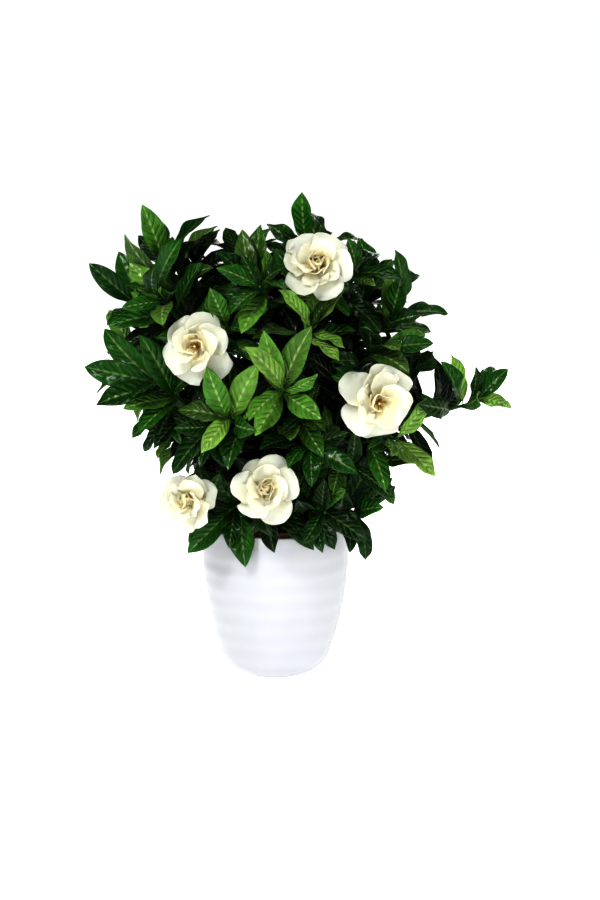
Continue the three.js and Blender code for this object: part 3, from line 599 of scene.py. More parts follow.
def linear(code):
    """An sRGB hex colour as linear red, green and blue."""
    parts = [int(code[i : i + 2], 16) / 255 for i in (1, 3, 5)]
    return tuple(c / 12.92 if c <= 0.04045 else ((c + 0.055) / 1.055) ** 2.4 for c in parts)


def fill(tree, made, inputs):
    """Gives each input of a node its link or its value."""
    for key, value in inputs.items():
        if isinstance(value, bpy.types.NodeSocket):
            tree.links.new(value, made.inputs[key])
        else:
            made.inputs[key].default_value = value


def node(tree, kind, *values, out=0, **settings):
    """Adds a node with its settings and links, and gives one of its outputs, or the node if out is None.

    Values fill its inputs in order, and a dict fills them by name or number.
    """
    kind, _, operation = kind.partition(".")
    made = tree.nodes.new(kind)
    if operation:
        made.operation = operation
    for name, value in settings.items():
        setattr(made, name, value)
    for place, value in enumerate(values):
        fill(tree, made, value if isinstance(value, dict) else {place: value})
    return made if out is None else made.outputs[out]


def new_tree(name, sockets):
    """A Geometry Nodes tree with named inputs, what adds its nodes, and the sockets of the inputs."""
    tree = bpy.data.node_groups.new(name, "GeometryNodeTree")
    tree.interface.new_socket("Geometry", in_out="INPUT", socket_type="NodeSocketGeometry")
    for label, kind, default in sockets:
        socket = tree.interface.new_socket(label, in_out="INPUT", socket_type="NodeSocket" + kind)
        if default is not None:
            socket.default_value = default
    tree.interface.new_socket("Geometry", in_out="OUTPUT", socket_type="NodeSocketGeometry")
    return tree, partial(node, tree), node(tree, "NodeGroupInput", out=None).outputs


def finish_tree(tree, geometry, material):
    """Ends a tree in Realize Instances and Set Material."""
    real = node(tree, "GeometryNodeRealizeInstances", geometry)
    painted = node(tree, "GeometryNodeSetMaterial", {"Geometry": real, "Material": material})
    node(tree, "NodeGroupOutput", painted, out=None)
    return tree


def mesh_object(name, points, edges=(), faces=(), fields=None):
    """An object of points in millimetres, with its point attributes."""
    mesh = bpy.data.meshes.new(name)
    mesh.from_pydata([Vector(p) * MM for p in points], edges, faces)
    for key, values in (fields or {}).items():
        vector = isinstance(values[0], Vector)
        attribute = mesh.attributes.new(key, "FLOAT_VECTOR" if vector else "FLOAT", "POINT")
        flat = [c for value in values for c in value] if vector else values
        attribute.data.foreach_set("vector" if vector else "value", flat)
    made = bpy.data.objects.new(name, mesh)
    bpy.context.scene.collection.objects.link(made)
    return made


def bake(piece):
    """Swaps an object's mesh for the plain mesh that its modifiers make, and drops them."""
    view = piece.evaluated_get(bpy.context.evaluated_depsgraph_get())
    mesh = bpy.data.meshes.new_from_object(view)
    piece.modifiers.clear()
    old = piece.data
    piece.data = mesh
    bpy.data.meshes.remove(old)
    return piece


def apply_tree(source, kind, inputs):
    """Swaps an object's mesh for the plain mesh that a tree makes of it."""
    tree = tree_of(kind)
    modifier = source.modifiers.new(tree.name, "NODES")
    modifier.node_group = tree
    for item in tree.interface.items_tree:
        if item.in_out == "INPUT" and item.name in inputs:
            modifier[item.identifier] = inputs[item.name]
    return bake(source)


def join(name, parts):
    """Several objects as one object."""
    kept = parts[0]
    if len(parts) > 1:
        with bpy.context.temp_override(
            active_object=kept, object=kept, selected_objects=parts, selected_editable_objects=parts
        ):
            bpy.ops.object.join()
    kept.name = name
    kept.data.name = name
    return kept


def keep(piece, slot, *nodes):
    """Hands a finished piece to the frame, in place of the solids named."""
    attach(piece, "root")
    if nodes:
        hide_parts(*nodes)
    return piece


def circle(count, shift=0.0):
    """The cosine and sine of evenly spaced turns."""
    turns = [2 * pi * (k + shift) / count for k in range(count)]
    return [(cos(turn), sin(turn)) for turn in turns]


def turned_points(rings, sides):
    """The corners of (radius, height) rings, side by side. A height may be a function of x and y."""
    corners = [(r * x, r * y, height) for x, y in circle(sides) for r, height in rings]
    return [(x, y, height(x, y) if callable(height) else height) for x, y, height in corners]


def lathe(name, profile, sides, material):
    """A turned piece from (radius, height) points that start and end on the axis."""
    per = len(profile) - 2
    points = [(0, 0, profile[0][1]), *turned_points(profile[1:-1], sides), (0, 0, profile[-1][1])]
    faces = []
    last = len(points) - 1
    for k in range(sides):
        a, b = 1 + k * per, 1 + (k + 1) % sides * per
        faces.append((0, b, a))
        faces += [(a + i, b + i, b + i + 1, a + i + 1) for i in range(per - 1)]
        faces.append((a + per - 1, b + per - 1, last))
    made = mesh_object(name, points, faces=faces)
    made.data.materials.append(material)
    made.data.shade_smooth()
    return made


def rounded(corners, radius, steps=4):
    """A (radius, height) profile with its inner corners rounded."""
    profile = [corners[0]]
    for before, corner, after in zip(corners, corners[1:], corners[2:]):
        here = Vector(corner)
        to_before = Vector(before) - here
        to_after = Vector(after) - here
        reach = min(radius, 0.45 * to_before.length, 0.45 * to_after.length)
        start = here + to_before.normalized() * reach
        end = here + to_after.normalized() * reach
        profile += [tuple(curve_point(start, here, end, i / steps)) for i in range(steps + 1)]
    return profile + [corners[-1]]


# -------- Geometry Nodes
def vein_swell(add, off, share):
    """How a leaf swells between its side veins, which leave the midrib and lean towards the tip."""
    turns = add(MULTIPLY_ADD, off, -VEIN_LEAN, share)
    return add(ABSOLUTE, add(SINE, add(MULTIPLY, turns, pi * VEINS)))


def blade_tree():
    """Grows leaves or petals from midribs, lines whose points carry each row's size and direction."""
    tree, add, given = new_tree("Blades", [
        ("Ring points", "Int", 12), ("Crumple", "Float", 0.0), ("Crumple scale", "Float", 60.0),
        ("Quilt", "Float", 0.0), ("Cup", "Float", 0.0), ("Material", "Material", None),
    ])
    place = add("GeometryNodeInputPosition")
    lines = add("GeometryNodeMeshToCurve", given["Geometry"])
    lines = add(STORE, {"Geometry": lines, "Name": "middle", "Value": place}, data_type="FLOAT_VECTOR")
    ring = add(CIRCLE, {"Resolution": given["Ring points"], "Radius": 1.0})
    for name, axis in (("across", "X"), ("above", "Y")):
        ring = add(STORE, {"Geometry": ring, "Name": name, "Value": add(SPLIT, place, out=axis)})
    skin = add(SWEEP, {"Curve": lines, "Profile Curve": ring, "Fill Caps": True})

    across, above, share, sheet, thicker, fold_lift, wave_left, wave_right = (
        add(FIELD, name) for name in (
            "across", "above", "share", "sheet", "rib", "fold_lift", "wave_left", "wave_right",
        )
    )
    side, up, middle = (add(FIELD, name, data_type="FLOAT_VECTOR") for name in ("side", "up", "middle"))
    off = add(ABSOLUTE, across)
    square = add(MULTIPLY, across, across)
    # The margin ripples on its own, and differs from the left edge to the right one.
    on_right = add(GREATER_THAN, across, 0.0)
    ripple = add(MIX, {0: on_right, 2: wave_left, 3: wave_right})
    ripple = add(MULTIPLY, ripple, square)
    # A leaf folds sharply at its midrib, and a petal is cupped.
    cup = add(MULTIPLY, given["Cup"], add(SUBTRACT, square, off))
    fold = add(MULTIPLY, fold_lift, add(ADD, off, cup))
    # The sheet is thin, and its midrib is thicker.
    rib = add(POWER, add(SUBTRACT, 1.0, square), 6.0)
    thick = add(MULTIPLY_ADD, rib, thicker, sheet)
    thick = add(MULTIPLY, thick, above)
    # A slow noise dents the sheet by a share of its half width, more towards its edge, and the same
    # above as below.
    spot = add(VECTOR_ADD, middle, add(SCALE, side, {"Scale": across}))
    dent = add(NOISE, {"Vector": spot, "Scale": given["Crumple scale"], "Detail": 1.0})
    dent = add(SUBTRACT, dent, 0.5)
    dent = add(MULTIPLY, dent, given["Crumple"])
    dent = add(MULTIPLY, dent, off)
    # The swelling between the side veins dies out at the edge.
    inside = add(SUBTRACT, 1.0, add(POWER, off, 4.0))
    swell = add(MULTIPLY, vein_swell(add, off, share), inside)
    dent = add(MULTIPLY_ADD, swell, given["Quilt"], dent)
    dent = add(MULTIPLY, dent, add(LENGTH, side, out="Value"))
    lift = add(ADD, add(ADD, ripple, fold), add(ADD, thick, dent))

    rise = add(SCALE, up, {"Scale": lift})
    skin = add(MOVE, {"Geometry": skin, "Position": add(VECTOR_ADD, spot, rise)})
    skin = add("GeometryNodeFlipFaces", skin)
    skin = add(SMOOTH, {"Geometry": skin, "Shade Smooth": True})
    return finish_tree(tree, skin, given["Material"])


def stalk_tree():
    """Grows round stems along lines whose points carry a thickness, with a noise for their skin."""
    tree, add, given = new_tree("Stalks", [
        ("Sides", "Int", 10), ("Bend radius", "Float", 0.015), ("Step", "Float", 0.004),
        ("Relief", "Float", 0.0), ("Grain", "Float", 300.0), ("Material", "Material", None),
    ])
    lines = add("GeometryNodeMeshToCurve", given["Geometry"])
    lines = add("GeometryNodeFilletCurve", {
        "Curve": lines, "Count": 4, "Radius": given["Bend radius"], "Limit Radius": True,
    }, mode="POLY")
    lines = add("GeometryNodeResampleCurve", {"Curve": lines, "Length": given["Step"]}, mode="LENGTH")
    ring = add(CIRCLE, {"Resolution": given["Sides"], "Radius": 1.0})
    skin = add(SWEEP, {
        "Curve": lines, "Profile Curve": ring, "Scale": add(FIELD, "thickness"), "Fill Caps": True,
    })
    rough = add(NOISE, {"Scale": given["Grain"], "Detail": 3.0})
    rough = add(SUBTRACT, rough, 0.5)
    rough = add(MULTIPLY, rough, given["Relief"])
    shift = add(SCALE, add("GeometryNodeInputNormal"), {"Scale": rough})
    skin = add(MOVE, {"Geometry": skin, "Offset": shift})
    skin = add(SMOOTH, {"Geometry": skin, "Shade Smooth": True})
    return finish_tree(tree, skin, given["Material"])


def crumb_tree():
    """Scatters crumbs of one kind on a surface, each turned at random."""
    tree, add, given = new_tree("Crumbs", [
        ("Density", "Float", 4000.0), ("Smallest", "Float", 0.001), ("Largest", "Float", 0.003),
        ("Seed", "Int", 3), ("Material", "Material", None),
    ])
    seed = {"Seed": given["Seed"]}
    spots = add("GeometryNodeDistributePointsOnFaces", {
        "Mesh": given["Geometry"], "Density": given["Density"], **seed,
    })
    crumb = add("GeometryNodeMeshIcoSphere", {"Radius": 1.0, "Subdivisions": 1})
    turn = add(RANDOM, {"Max": (2 * pi,) * 3, **seed}, data_type="FLOAT_VECTOR")
    size = add(RANDOM, {2: given["Smallest"], 3: given["Largest"], **seed}, data_type="FLOAT", out=1)
    squash = add(RANDOM, {0: (0.6, 0.5, 0.4), 1: (1.1, 0.9, 0.8), **seed}, data_type="FLOAT_VECTOR")
    spread = add("GeometryNodeInstanceOnPoints", {
        "Points": spots, "Instance": crumb, "Rotation": turn,
        "Scale": add(SCALE, squash, {"Scale": size}),
    })
    return finish_tree(tree, spread, given["Material"])


@cache
def tree_of(kind):
    """One tree of each kind, made when it is first needed."""
    return {"blades": blade_tree, "stalks": stalk_tree, "crumbs": crumb_tree}[kind]()


# -------- blades and stalks as fields
def shares_of(rows):
    """Shares of a blade's length, closer together at its root and tip."""
    even = [i / (rows - 1) for i in range(rows)]
    return [0.5 * t + 0.25 * (1 - cos(pi * t)) for t in even]


def stem_half(u, blade):
    """The least half width of a blade: its stem at the root, and a fine point at the tip."""
    return blade.neck * (1 - u) ** 6 + POINT_HALF


def margin(u, blade, shift):
    """How far a blade's edge waves out of its sheet, with fine ripples on a slow wave."""
    slow = blade.wave * sin(2 * pi * (blade.waves * u + blade.phase + shift))
    return slow + blade.ripple * sin(2 * pi * (blade.ripples * u + 3 * blade.phase + 2 * shift))


def grow_blades(name, blades, rows, ring_points, material, skin):
    """Leaves or petals in one mesh, from midribs with the fields that the blade tree reads."""
    shares = shares_of(rows)
    points, edges, found = [], [], []
    for blade in blades:
        first = len(points)
        edges += [(first + i, first + i + 1) for i in range(rows - 1)]
        for u, (middle, side, up) in zip(shares, blade_rows(blade, shares)):
            half = max(blade.width / 2 * outline(u, blade.shape), stem_half(u, blade))
            edge = min(1, half / (EDGE_SHARE * blade.width))
            points.append(middle)
            found.append({
                "side": side * (half * cos(blade.fold) * MM),
                "up": up,
                "fold_lift": half * sin(blade.fold) * MM,
                "wave_left": margin(u, blade, 0) * edge * MM,
                "wave_right": margin(u, blade, EDGE_SHIFT) * edge * MM,
                "rib": blade.rib * (1 - RIB_TAPER * u) * MM,
                "sheet": blade.sheet * MM,
                "share": u,
                "tone": blade.tone,
                "shade": blade.shade,
            })
    fields = {key: [row[key] for row in found] for key in found[0]}
    made = mesh_object(name, points, edges, fields=fields)
    inputs = {"Ring points": ring_points, "Material": finish(material)}
    return apply_tree(made, "blades", inputs | skin)


def grow_stalks(name, stalks, material, sides, bend, step, relief=0.0, grain=300.0):
    """Round stems in one mesh, along lines of (point, radius) pairs that the stalk tree reads."""
    points, edges, thickness = [], [], []
    for stalk in stalks:
        first = len(points)
        edges += [(first + i, first + i + 1) for i in range(len(stalk) - 1)]
        points += [point for point, _ in stalk]
        thickness += [radius * MM for _, radius in stalk]
    made = mesh_object(name, points, edges, fields={"thickness": thickness})
    return apply_tree(made, "stalks", {
        "Sides": sides, "Bend radius": bend * MM, "Step": step * MM, "Relief": relief * MM,
        "Grain": grain, "Material": finish(material),
    })


def tapered(path, start, end):
    """A path's points with radii from start to end."""
    last = len(path) - 1
    return [(p, start + (end - start) * i / last) for i, p in enumerate(path)]


# -------- finishes
def new_material(name, **surface):
    """A material with the values that are the same all over its surface, and what adds its nodes."""
    made = bpy.data.materials.new(name)
    made.use_nodes = True
    shader = made.node_tree.nodes["Principled BSDF"]
    for key, value in surface.items():
        shader.inputs[key.replace("_", " ")].default_value = value
    return made, partial(node, made.node_tree)


def patterned(made, **pattern):
    """Links a material's pattern to its shader."""
    shader = made.node_tree.nodes["Principled BSDF"]
    fill(made.node_tree, shader, {key.replace("_", " "): value for key, value in pattern.items()})
    return made


def colour(name):
    """A colour of the panel with its alpha."""
    return (*getattr(bpy.context.scene.gardenia_colours, name), 1.0)


def grain_of(add, size, detail=2.0):
    """What a noise on the piece's own place takes for features of about this size in millimetres."""
    return {"Vector": add(PLACE, out="Object"), "Scale": 1 / (size * MM), "Detail": detail}


def speckled(name, roughness, size, first, second, low=0.0, high=1.0, detail=2.0, depth=0.0):
    """A matt material of two colours, mixed by a noise that may stand up by a depth in millimetres."""
    made, add = new_material(name, Roughness=roughness)
    grain = add(NOISE, grain_of(add, size, detail))
    mixed = {0: add(RANGE, grain, low, high), 6: colour(first), 7: colour(second)}
    if depth:
        patterned(made, Normal=add(BUMP, {"Distance": depth * MM, "Height": grain}))
    return patterned(made, Base_Color=add(MIX, mixed, data_type="RGBA", out=2))


def waxy_leaf():
    """Living leaf with a waxy cuticle: deep green, glossy on top, with pale sunken veins, dull below."""
    made, add = new_material(
        "Waxy gardenia leaf", Specular_IOR_Level=0.3, Coat_Weight=0.25, Coat_Roughness=0.16,
    )
    fields = ("across", "above", "share", "tone", "shade")
    across, above, share, tone, shade = (add(OWN, attribute_name=name, out="Fac") for name in fields)
    off = add(ABSOLUTE, across)
    swell = vein_swell(add, off, share)
    fade = add(MULTIPLY, add(RANGE, off, 0.92, 0.55), add(RANGE, share, 0.96, 0.8))
    side_vein = add(MULTIPLY, add(RANGE, swell, 0.5, 0.08), fade)
    midrib = add(RANGE, off, 0.14, 0.03)
    below = add(RANGE, above, -0.2, -0.5)

    # A young leaf is yellower, a grown one is deep green, and none is quite even. The shade field also
    # darkens the small leaves inside the crown, as painted shade.
    grown = {0: add(RANGE, tone, 0.0, 0.45), 6: colour("leaf"), 7: colour("full_leaf")}
    green = add(MIX, grown, data_type="RGBA", out=2)
    young = {0: add(RANGE, tone, 0.4, 1.0), 6: green, 7: colour("young_leaf")}
    green = add(MIX, young, data_type="RGBA", out=2)
    patch = add(RANGE, add(NOISE, grain_of(add, 14)), 0.3, 0.7, 0.75, 1.2)
    patch = add(MULTIPLY, patch, shade)
    green = add(SCALE, green, {"Scale": patch})
    # The veins are paler, most of all on a young leaf. The margin is paler too, as a painted highlight.
    pale = add(MIX, {0: 0.4, 6: colour("vein"), 7: green}, data_type="RGBA", out=2)
    veined = add(MULTIPLY, side_vein, add(RANGE, tone, 0.1, 0.8, 0.12, 0.7))
    ribbed = add(MULTIPLY, midrib, add(RANGE, tone, 0.0, 0.6, 0.35, 0.9))
    # Painted highlight along the leaf's margin.
    painted_margin_highlight = add(RANGE, off, 0.93, 1.0, 0.0, 0.5)
    strength = add(MAXIMUM, add(MAXIMUM, veined, ribbed), painted_margin_highlight)
    upper = add(MIX, {0: strength, 6: green, 7: pale}, data_type="RGBA", out=2)
    lower = add(MIX, {0: strength, 6: colour("leaf_underside"), 7: pale}, data_type="RGBA", out=2)
    height = add(MULTIPLY, add(POWER, swell, 0.6), fade)
    return patterned(
        made,
        Base_Color=add(MIX, {0: below, 6: upper, 7: lower}, data_type="RGBA", out=2),
        Roughness=add(RANGE, below, 0.0, 1.0, 0.33, 0.6),
        Normal=add(BUMP, {"Distance": 1.9 * MM, "Height": height}),
    )


def green_stem():
    """Young gardenia stem: green and slightly rough, so it shows a soft light edge."""
    made, add = new_material("Green gardenia stem", Roughness=0.5)
    streak = add(RANGE, add(NOISE, grain_of(add, 5)), 0.3, 0.7, 0.7, 1.2)
    return patterned(made, Base_Color=add(SCALE, colour("stem")[:3], {"Scale": streak}))


def bark():
    """Gardenia bark: grey brown, matt and finely cracked along the stem."""
    return speckled("Gardenia bark", 0.85, 2.5, "bark", "bark_ridge", 0.35, 0.65, detail=4.0, depth=1.2)


def soft_petal():
    """Fresh petal: thick, soft and creamy white. Light passes a little into it and shadows stay warm."""
    made, add = new_material(
        "Fresh gardenia petal", Roughness=0.6, Subsurface_Weight=0.6, Subsurface_Scale=0.006, IOR=1.35,
        Subsurface_Radius=(1.0, 0.85, 0.65),
    )
    share, tone = (add(OWN, attribute_name=name, out="Fac") for name in ("share", "tone"))
    # It is yellower towards its root and in the heart of the bloom: partly the petal's own cream, partly
    # painted warm shade in the depth of the bloom.
    inner = add(RANGE, tone, 0.2, 1.0, 0.0, 0.9)
    depth = add(MAXIMUM, add(RANGE, share, 0.55, 0.05), inner)
    cream = {0: depth, 6: colour("petal"), 7: colour("petal_throat")}
    relief = {"Strength": 0.5, "Distance": 0.5 * MM, "Height": add(NOISE, grain_of(add, 7))}
    return patterned(made, Base_Color=add(MIX, cream, data_type="RGBA", out=2), Normal=add(BUMP, relief))


def anther():
    """Ripe anther: narrow, dusty and yellow brown."""
    return speckled("Gardenia anther", 0.75, 1, "anther", "pollen", 0.35, 0.65)


def glazed_stoneware():
    """White glazed stoneware, thrown with shallow ribs and dipped: hard gloss over a white body."""
    made, add = new_material(
        "White glazed stoneware", Coat_Weight=0.35, Coat_Roughness=0.08, IOR=1.5, Roughness=0.35,
    )
    height = add(SPLIT, add(PLACE, out="Object"), out="Z")
    # The glaze pools between the ribs, where it looks a little greyer, and lies unevenly round the pot.
    per_rib = pi / COVER_POT.rib_pitch
    turns = add(MULTIPLY_ADD, height, per_rib / MM, -per_rib * COVER_POT.ribs_from)
    groove = add(SINE, turns)
    groove = add(MULTIPLY, groove, groove)
    pooled = add(MULTIPLY_ADD, groove, 0.5, add(NOISE, grain_of(add, 45)))
    glaze = {0: add(RANGE, pooled, 0.4, 1.1), 6: colour("glaze"), 7: colour("glaze_thick")}
    white = add(MIX, glaze, data_type="RGBA", out=2)
    # Painted shade: the turn of the foot is coloured greyer towards the bottom.
    foot = {0: add(RANGE, height, 18 * MM, 2 * MM), 6: white, 7: colour("clay")}
    relief = {"Strength": 0.4, "Distance": 0.06 * MM, "Height": add(NOISE, grain_of(add, 16))}
    return patterned(made, Base_Color=add(MIX, foot, data_type="RGBA", out=2), Normal=add(BUMP, relief))


def moulded_plastic():
    """Moulded polypropylene: brown and matt, with the fine grain of its mould."""
    return speckled("Moulded brown polypropylene", 0.55, 1.5, "grow_pot", "grow_pot_worn", depth=0.1)


def potting_mix():
    """Peat potting mix: dark, crumbly and matt, drier on its crests."""
    return speckled("Peat potting mix", 0.95, 3, "soil", "soil_dry", 0.35, 0.7, detail=5.0, depth=2.0)


def perlite():
    """Expanded perlite: light, matt, off-white grains in the mix."""
    return speckled("Expanded perlite", 0.9, 0.8, "perlite", "soil_dry")


def studio_paper():
    """Matt white backdrop paper lit from behind: plain and pale, so that hardly a shadow shows."""
    made, _ = new_material(
        "Matt white backdrop paper", Base_Color=colour("floor"), Roughness=0.9,
        Emission_Color=(1, 1, 1, 1), Emission_Strength=0.6,
    )
    return made


@cache
def finish(name):
    """One material of each kind, made when it is first needed."""
    return {
        "leaf": waxy_leaf, "stem": green_stem, "bark": bark, "petal": soft_petal, "anther": anther,
        "glaze": glazed_stoneware, "plastic": moulded_plastic, "soil": potting_mix,
        "perlite": perlite, "paper": studio_paper,
    }[name]()


# -------- pieces
def cover_radius(z):
    pot = COVER_POT
    plain = pot.rim_radius - (pot.rim_radius - pot.foot_radius) * max(0, 1 - z / pot.height) ** pot.flare
    if pot.ribs_from <= z <= pot.ribs_to:
        plain -= pot.rib_depth * sin(pi * (z - pot.ribs_from) / pot.rib_pitch) ** 2
    return plain


def make_cover_pot(sides):
    pot = COVER_POT
    last = radians(pot.corner_turn)
    foot = cover_radius(pot.corner * (1 - cos(last))) - pot.corner * sin(last)
    profile = [(0, 0), (foot, 0)]
    for turn in range(pot.corner_step, pot.corner_turn + 1, pot.corner_step):
        a = radians(turn)
        profile.append((foot + pot.corner * sin(a), pot.corner * (1 - cos(a))))
    edge = pot.height - pot.edge
    z = pot.ribs_from
    while z < edge:
        profile.append((cover_radius(z), z))
        z += pot.rib_pitch / pot.rib_steps
    lip = cover_radius(pot.height)
    inside = pot.height - pot.inside_from
    low = pot.floor + pot.inside_step
    profile += rounded([
        (lip - pot.edge_taper, edge), (lip, pot.height), (lip - pot.wall, pot.height),
        (cover_radius(inside) - pot.wall, inside),
    ], pot.edge_round)
    for z in range(inside - pot.inside_step, low, -pot.inside_step):
        profile.append((cover_radius(z) - pot.wall, z))
    profile += rounded([
        (cover_radius(low) - pot.wall, low), (GROW_POT.base_radius + pot.floor_spare, pot.floor),
        (0, pot.floor),
    ], pot.floor_round)
    piece = lathe("cover_pot", profile, sides, finish("glaze"))
    return keep(piece, "glazed_cover_pot", "cover_pot")


def grow_radius(z):
    pot = GROW_POT
    return pot.base_radius + (pot.rim_radius - pot.base_radius) * (z - pot.foot) / (pot.rim - pot.foot)


def make_grow_pot(sides):
    pot = GROW_POT
    under = pot.rim - pot.lip_height
    band = grow_radius(pot.rim) + pot.lip
    floor = pot.foot + pot.wall
    corners = [
        (0, pot.foot), (grow_radius(pot.foot), pot.foot), (grow_radius(under), under),
        (band, under + pot.lip_slope), (band, pot.rim), (grow_radius(pot.rim) - pot.wall, pot.rim),
        (grow_radius(pot.foot) - pot.wall, floor), (0, floor),
    ]
    piece = lathe("grow_pot", rounded(corners, pot.edge_round, 3), sides, finish("plastic"))
    drills = []
    for x, y in circle(pot.drains, 0.5):
        bpy.ops.mesh.primitive_cylinder_add(
            vertices=24, radius=pot.drain_radius * MM, depth=4 * pot.wall * MM,
            location=(x * pot.drain_circle * MM, y * pot.drain_circle * MM, pot.foot * MM),
        )
        drills.append(bpy.context.object)
    drill = join("drill", drills)
    cut = piece.modifiers.new("Drain holes", "BOOLEAN")
    cut.object = drill
    cut.solver = "EXACT"
    bake(piece).data.set_sharp_from_angle(angle=radians(pot.sharp_from))
    bpy.data.objects.remove(drill)
    return keep(piece, "brown_grow_pot", "grow_pot")


def soil_height(x, y):
    """The top of the soil: the solid's slow lumps with finer ones on them."""
    x_turn, x_start, y_turn, y_start = SOIL.waves
    slow = SOIL.lump * sin(x * x_turn + x_start) * cos(y * y_turn + y_start)
    return SOIL.top + slow + sum(high * sin(x * a + y * b) for high, a, b in SOIL.fine_waves)


def make_soil(sides, density):
    """The body of the soil, with crumbs and perlite scattered on its top."""
    foot = GROW_POT.foot + GROW_POT.wall + SOIL.floor_gap
    wall = grow_radius(SOIL.top) - GROW_POT.wall - SOIL.wall_gap
    bottom = grow_radius(foot) - GROW_POT.wall - SOIL.wall_gap
    hole = TRUNK.radius + SOIL.trunk_gap
    pit = TRUNK.foot - SOIL.pit
    tops = [wall + (hole - wall) * i / SOIL.rings for i in range(SOIL.rings + 1)]
    pieces = [lathe("soil", [
        (0, foot), (bottom * 0.5, foot), (bottom, foot), (wall, SOIL.top - SOIL.shoulder),
        *((r, soil_height) for r in tops), (hole, pit), (0, pit),
    ], sides, finish("soil"))]

    # The crumbs lie on a sheet of their own that keeps off the wall and the trunk.
    outer, inner = wall - SOIL.crumbs_off_wall, hole + SOIL.crumbs_off_trunk
    points = turned_points([(max(min(r, outer), inner), soil_height) for r in tops], sides)
    faces = []
    for k in range(sides):
        a, b = k * len(tops), (k + 1) % sides * len(tops)
        faces += [(a + i, a + i + 1, b + i + 1, b + i) for i in range(len(tops) - 1)]
    for name, material, share, small, large, seed in CRUMBS:
        layer = mesh_object(name, points, faces=faces)
        pieces.append(apply_tree(layer, "crumbs", {
            "Density": density * share / MM**2, "Smallest": small * MM, "Largest": large * MM,
            "Seed": seed, "Material": finish(material),
        }))
    return keep(join("soil", pieces), "potting_soil", "soil")


def make_wood(limbs):
    trunk = [UP * TRUNK.foot, Vector(TRUNK.middle), UP * (TRUNK.fork + 3)]
    lines = [tapered(trunk, TRUNK.radius, TRUNK.radius * TRUNK.taper)]
    lines += [tapered(path, LIMB.start_radius, LIMB.end_radius) for path in limbs.values()]
    piece = grow_stalks(
        "trunk_and_limbs", lines, "bark", sides=20, bend=30, step=2, relief=1.4, grain=260.0,
    )
    return keep(piece, "bark", "trunk_and_limbs")


def dressed_leaf(blade, tone):
    """A leaf of the rule with its fine sizes and its colours."""
    blade = Record(**vars(blade) | FINE_SHEET)
    blade.tone = max(0, min(1, tone + FINE_LEAF.tone_spread * draw(blade.number, 12) ** 2))
    blade.shade = 1 + jitter(blade.number, 11, FINE_LEAF.shade_spread)
    blade.fold += radians(FINE_LEAF.extra_fold)
    if blade.shape is LEAF:
        blade.shape = FINE_LEAF
    return blade


def sepals(shoot):
    """The narrow green lobes that stand on the rim of a calyx."""
    across = level_across(shoot.look)
    blades = []
    for i in range(SEPAL.count):
        turn = 360 / SEPAL.count * i + jitter(shoot.number + i, 21, SEPAL.turn_spread)
        out = turned(across, shoot.look, radians(turn))
        root = shoot.end + shoot.look * (CALYX.length - 1) + out * (CALYX.radius - 0.8)
        blades.append(dressed_leaf(Record(
            number=shoot.number * 7 + i, root=root, face=out, roll=0, arch=radians(SEPAL.arch),
            tip=root + shoot.look * SEPAL.length + out * SEPAL.lean, width=SEPAL.width,
            fold=radians(SEPAL.fold), wave=0, waves=1, phase=0, shape=SEPAL_SHAPE,
        ), SEPAL.tone))
    return blades


def make_shoot(shoot, rows, ring_points):
    leaves = [dressed_leaf(blade, shoot.plan.young) for blade in shoot.leaves]
    stalks = [tapered(shoot.path, TWIG.start_radius, TWIG.end_radius)]
    if shoot.plan.bloom:
        leaves += sepals(shoot)
        bottom = shoot.end - shoot.look * CALYX.sunk
        top = shoot.end + shoot.look * CALYX.length
        swell = [(bottom.lerp(top, share), radius) for share, radius in CALYX.swell]
        stalks.append([(bottom, TWIG.end_radius), *swell, (top, CALYX.radius)])
    name = "shoot_" + shoot.name
    blades = grow_blades(name, leaves, rows, ring_points, "leaf", LEAF_SKIN)
    twig = grow_stalks(name + "_twig", stalks, "stem", sides=10, bend=15, step=4, relief=0.3)
    return keep(join(name, [blades, twig]), "leaf", name)


def dressed_petal(petal, share):
    """A petal of the rule with its fine sizes: wide enough to overlap, and looser by a share."""
    blade = Record(**vars(petal) | PETAL_SHEET)
    number, ring = blade.number, blade.ring
    loose = share * ring.loose
    chord = blade.tip - blade.root
    level = chord.cross(blade.face).normalized()
    chord = turned(chord, level, radians(jitter(number, 15, PETAL.swing) * loose))
    chord = turned(chord, blade.face.normalized(), radians(jitter(number, 17, PETAL.sway) * loose))
    blade.tip = blade.root + chord * (1 + jitter(number, 16, PETAL.stretch) * loose)
    blade.roll += radians(jitter(number, 18, PETAL.roll_spread) * loose)
    blade.width *= PETAL.widened
    blade.fold = radians(ring.cup + jitter(number, 14, PETAL.cup_spread))
    blade.wave *= ring.wave
    blade.ripple, blade.ripples = ring.ripple, ring.ripples
    blade.shape = Record(base=PETAL.base, point=PETAL.point + PETAL.point_spread * draw(number, 13))
    return blade


def loosened(petal):
    """A petal as loose as it can be without crossing a leaf."""
    for share in (1, -1, 0.5, -0.5, 0):
        blade = dressed_petal(petal, share)
        if not leaf_sheets().overlap(flat_sheets([blade])):
            break
    return blade


def make_bloom(shoot, rows, ring_points):
    rings = OUTER_RINGS + ([] if shoot.name in OPEN_BLOOMS else HEART_RINGS)
    petals = [loosened(petal) for petal in petal_blades(shoot, rings)]
    foot = shoot.end + shoot.look * (CALYX.length + TUBE.gap)
    top = shoot.throat + shoot.look * THROAT_STEP
    tube = [
        (foot, TUBE.radius), (foot.lerp(top, 0.6), TUBE.radius), (foot.lerp(top, 0.88), TUBE.neck),
        (top, TUBE.mouth),
    ]
    name = "petals_" + shoot.name.removeprefix("bloom_")
    skin = grow_blades(name, petals, rows, ring_points, "petal", PETAL_SKIN)
    stem = grow_stalks(name + "_tube", [tube], "petal", sides=16, bend=5, step=2)
    return keep(join(name, [skin, stem]), "petal", name)


# -------- pieces that the solids don't have
def nearest_limb(point, limbs):
    return min(limbs, key=lambda name: min((point - p).length for p in limbs[name]))


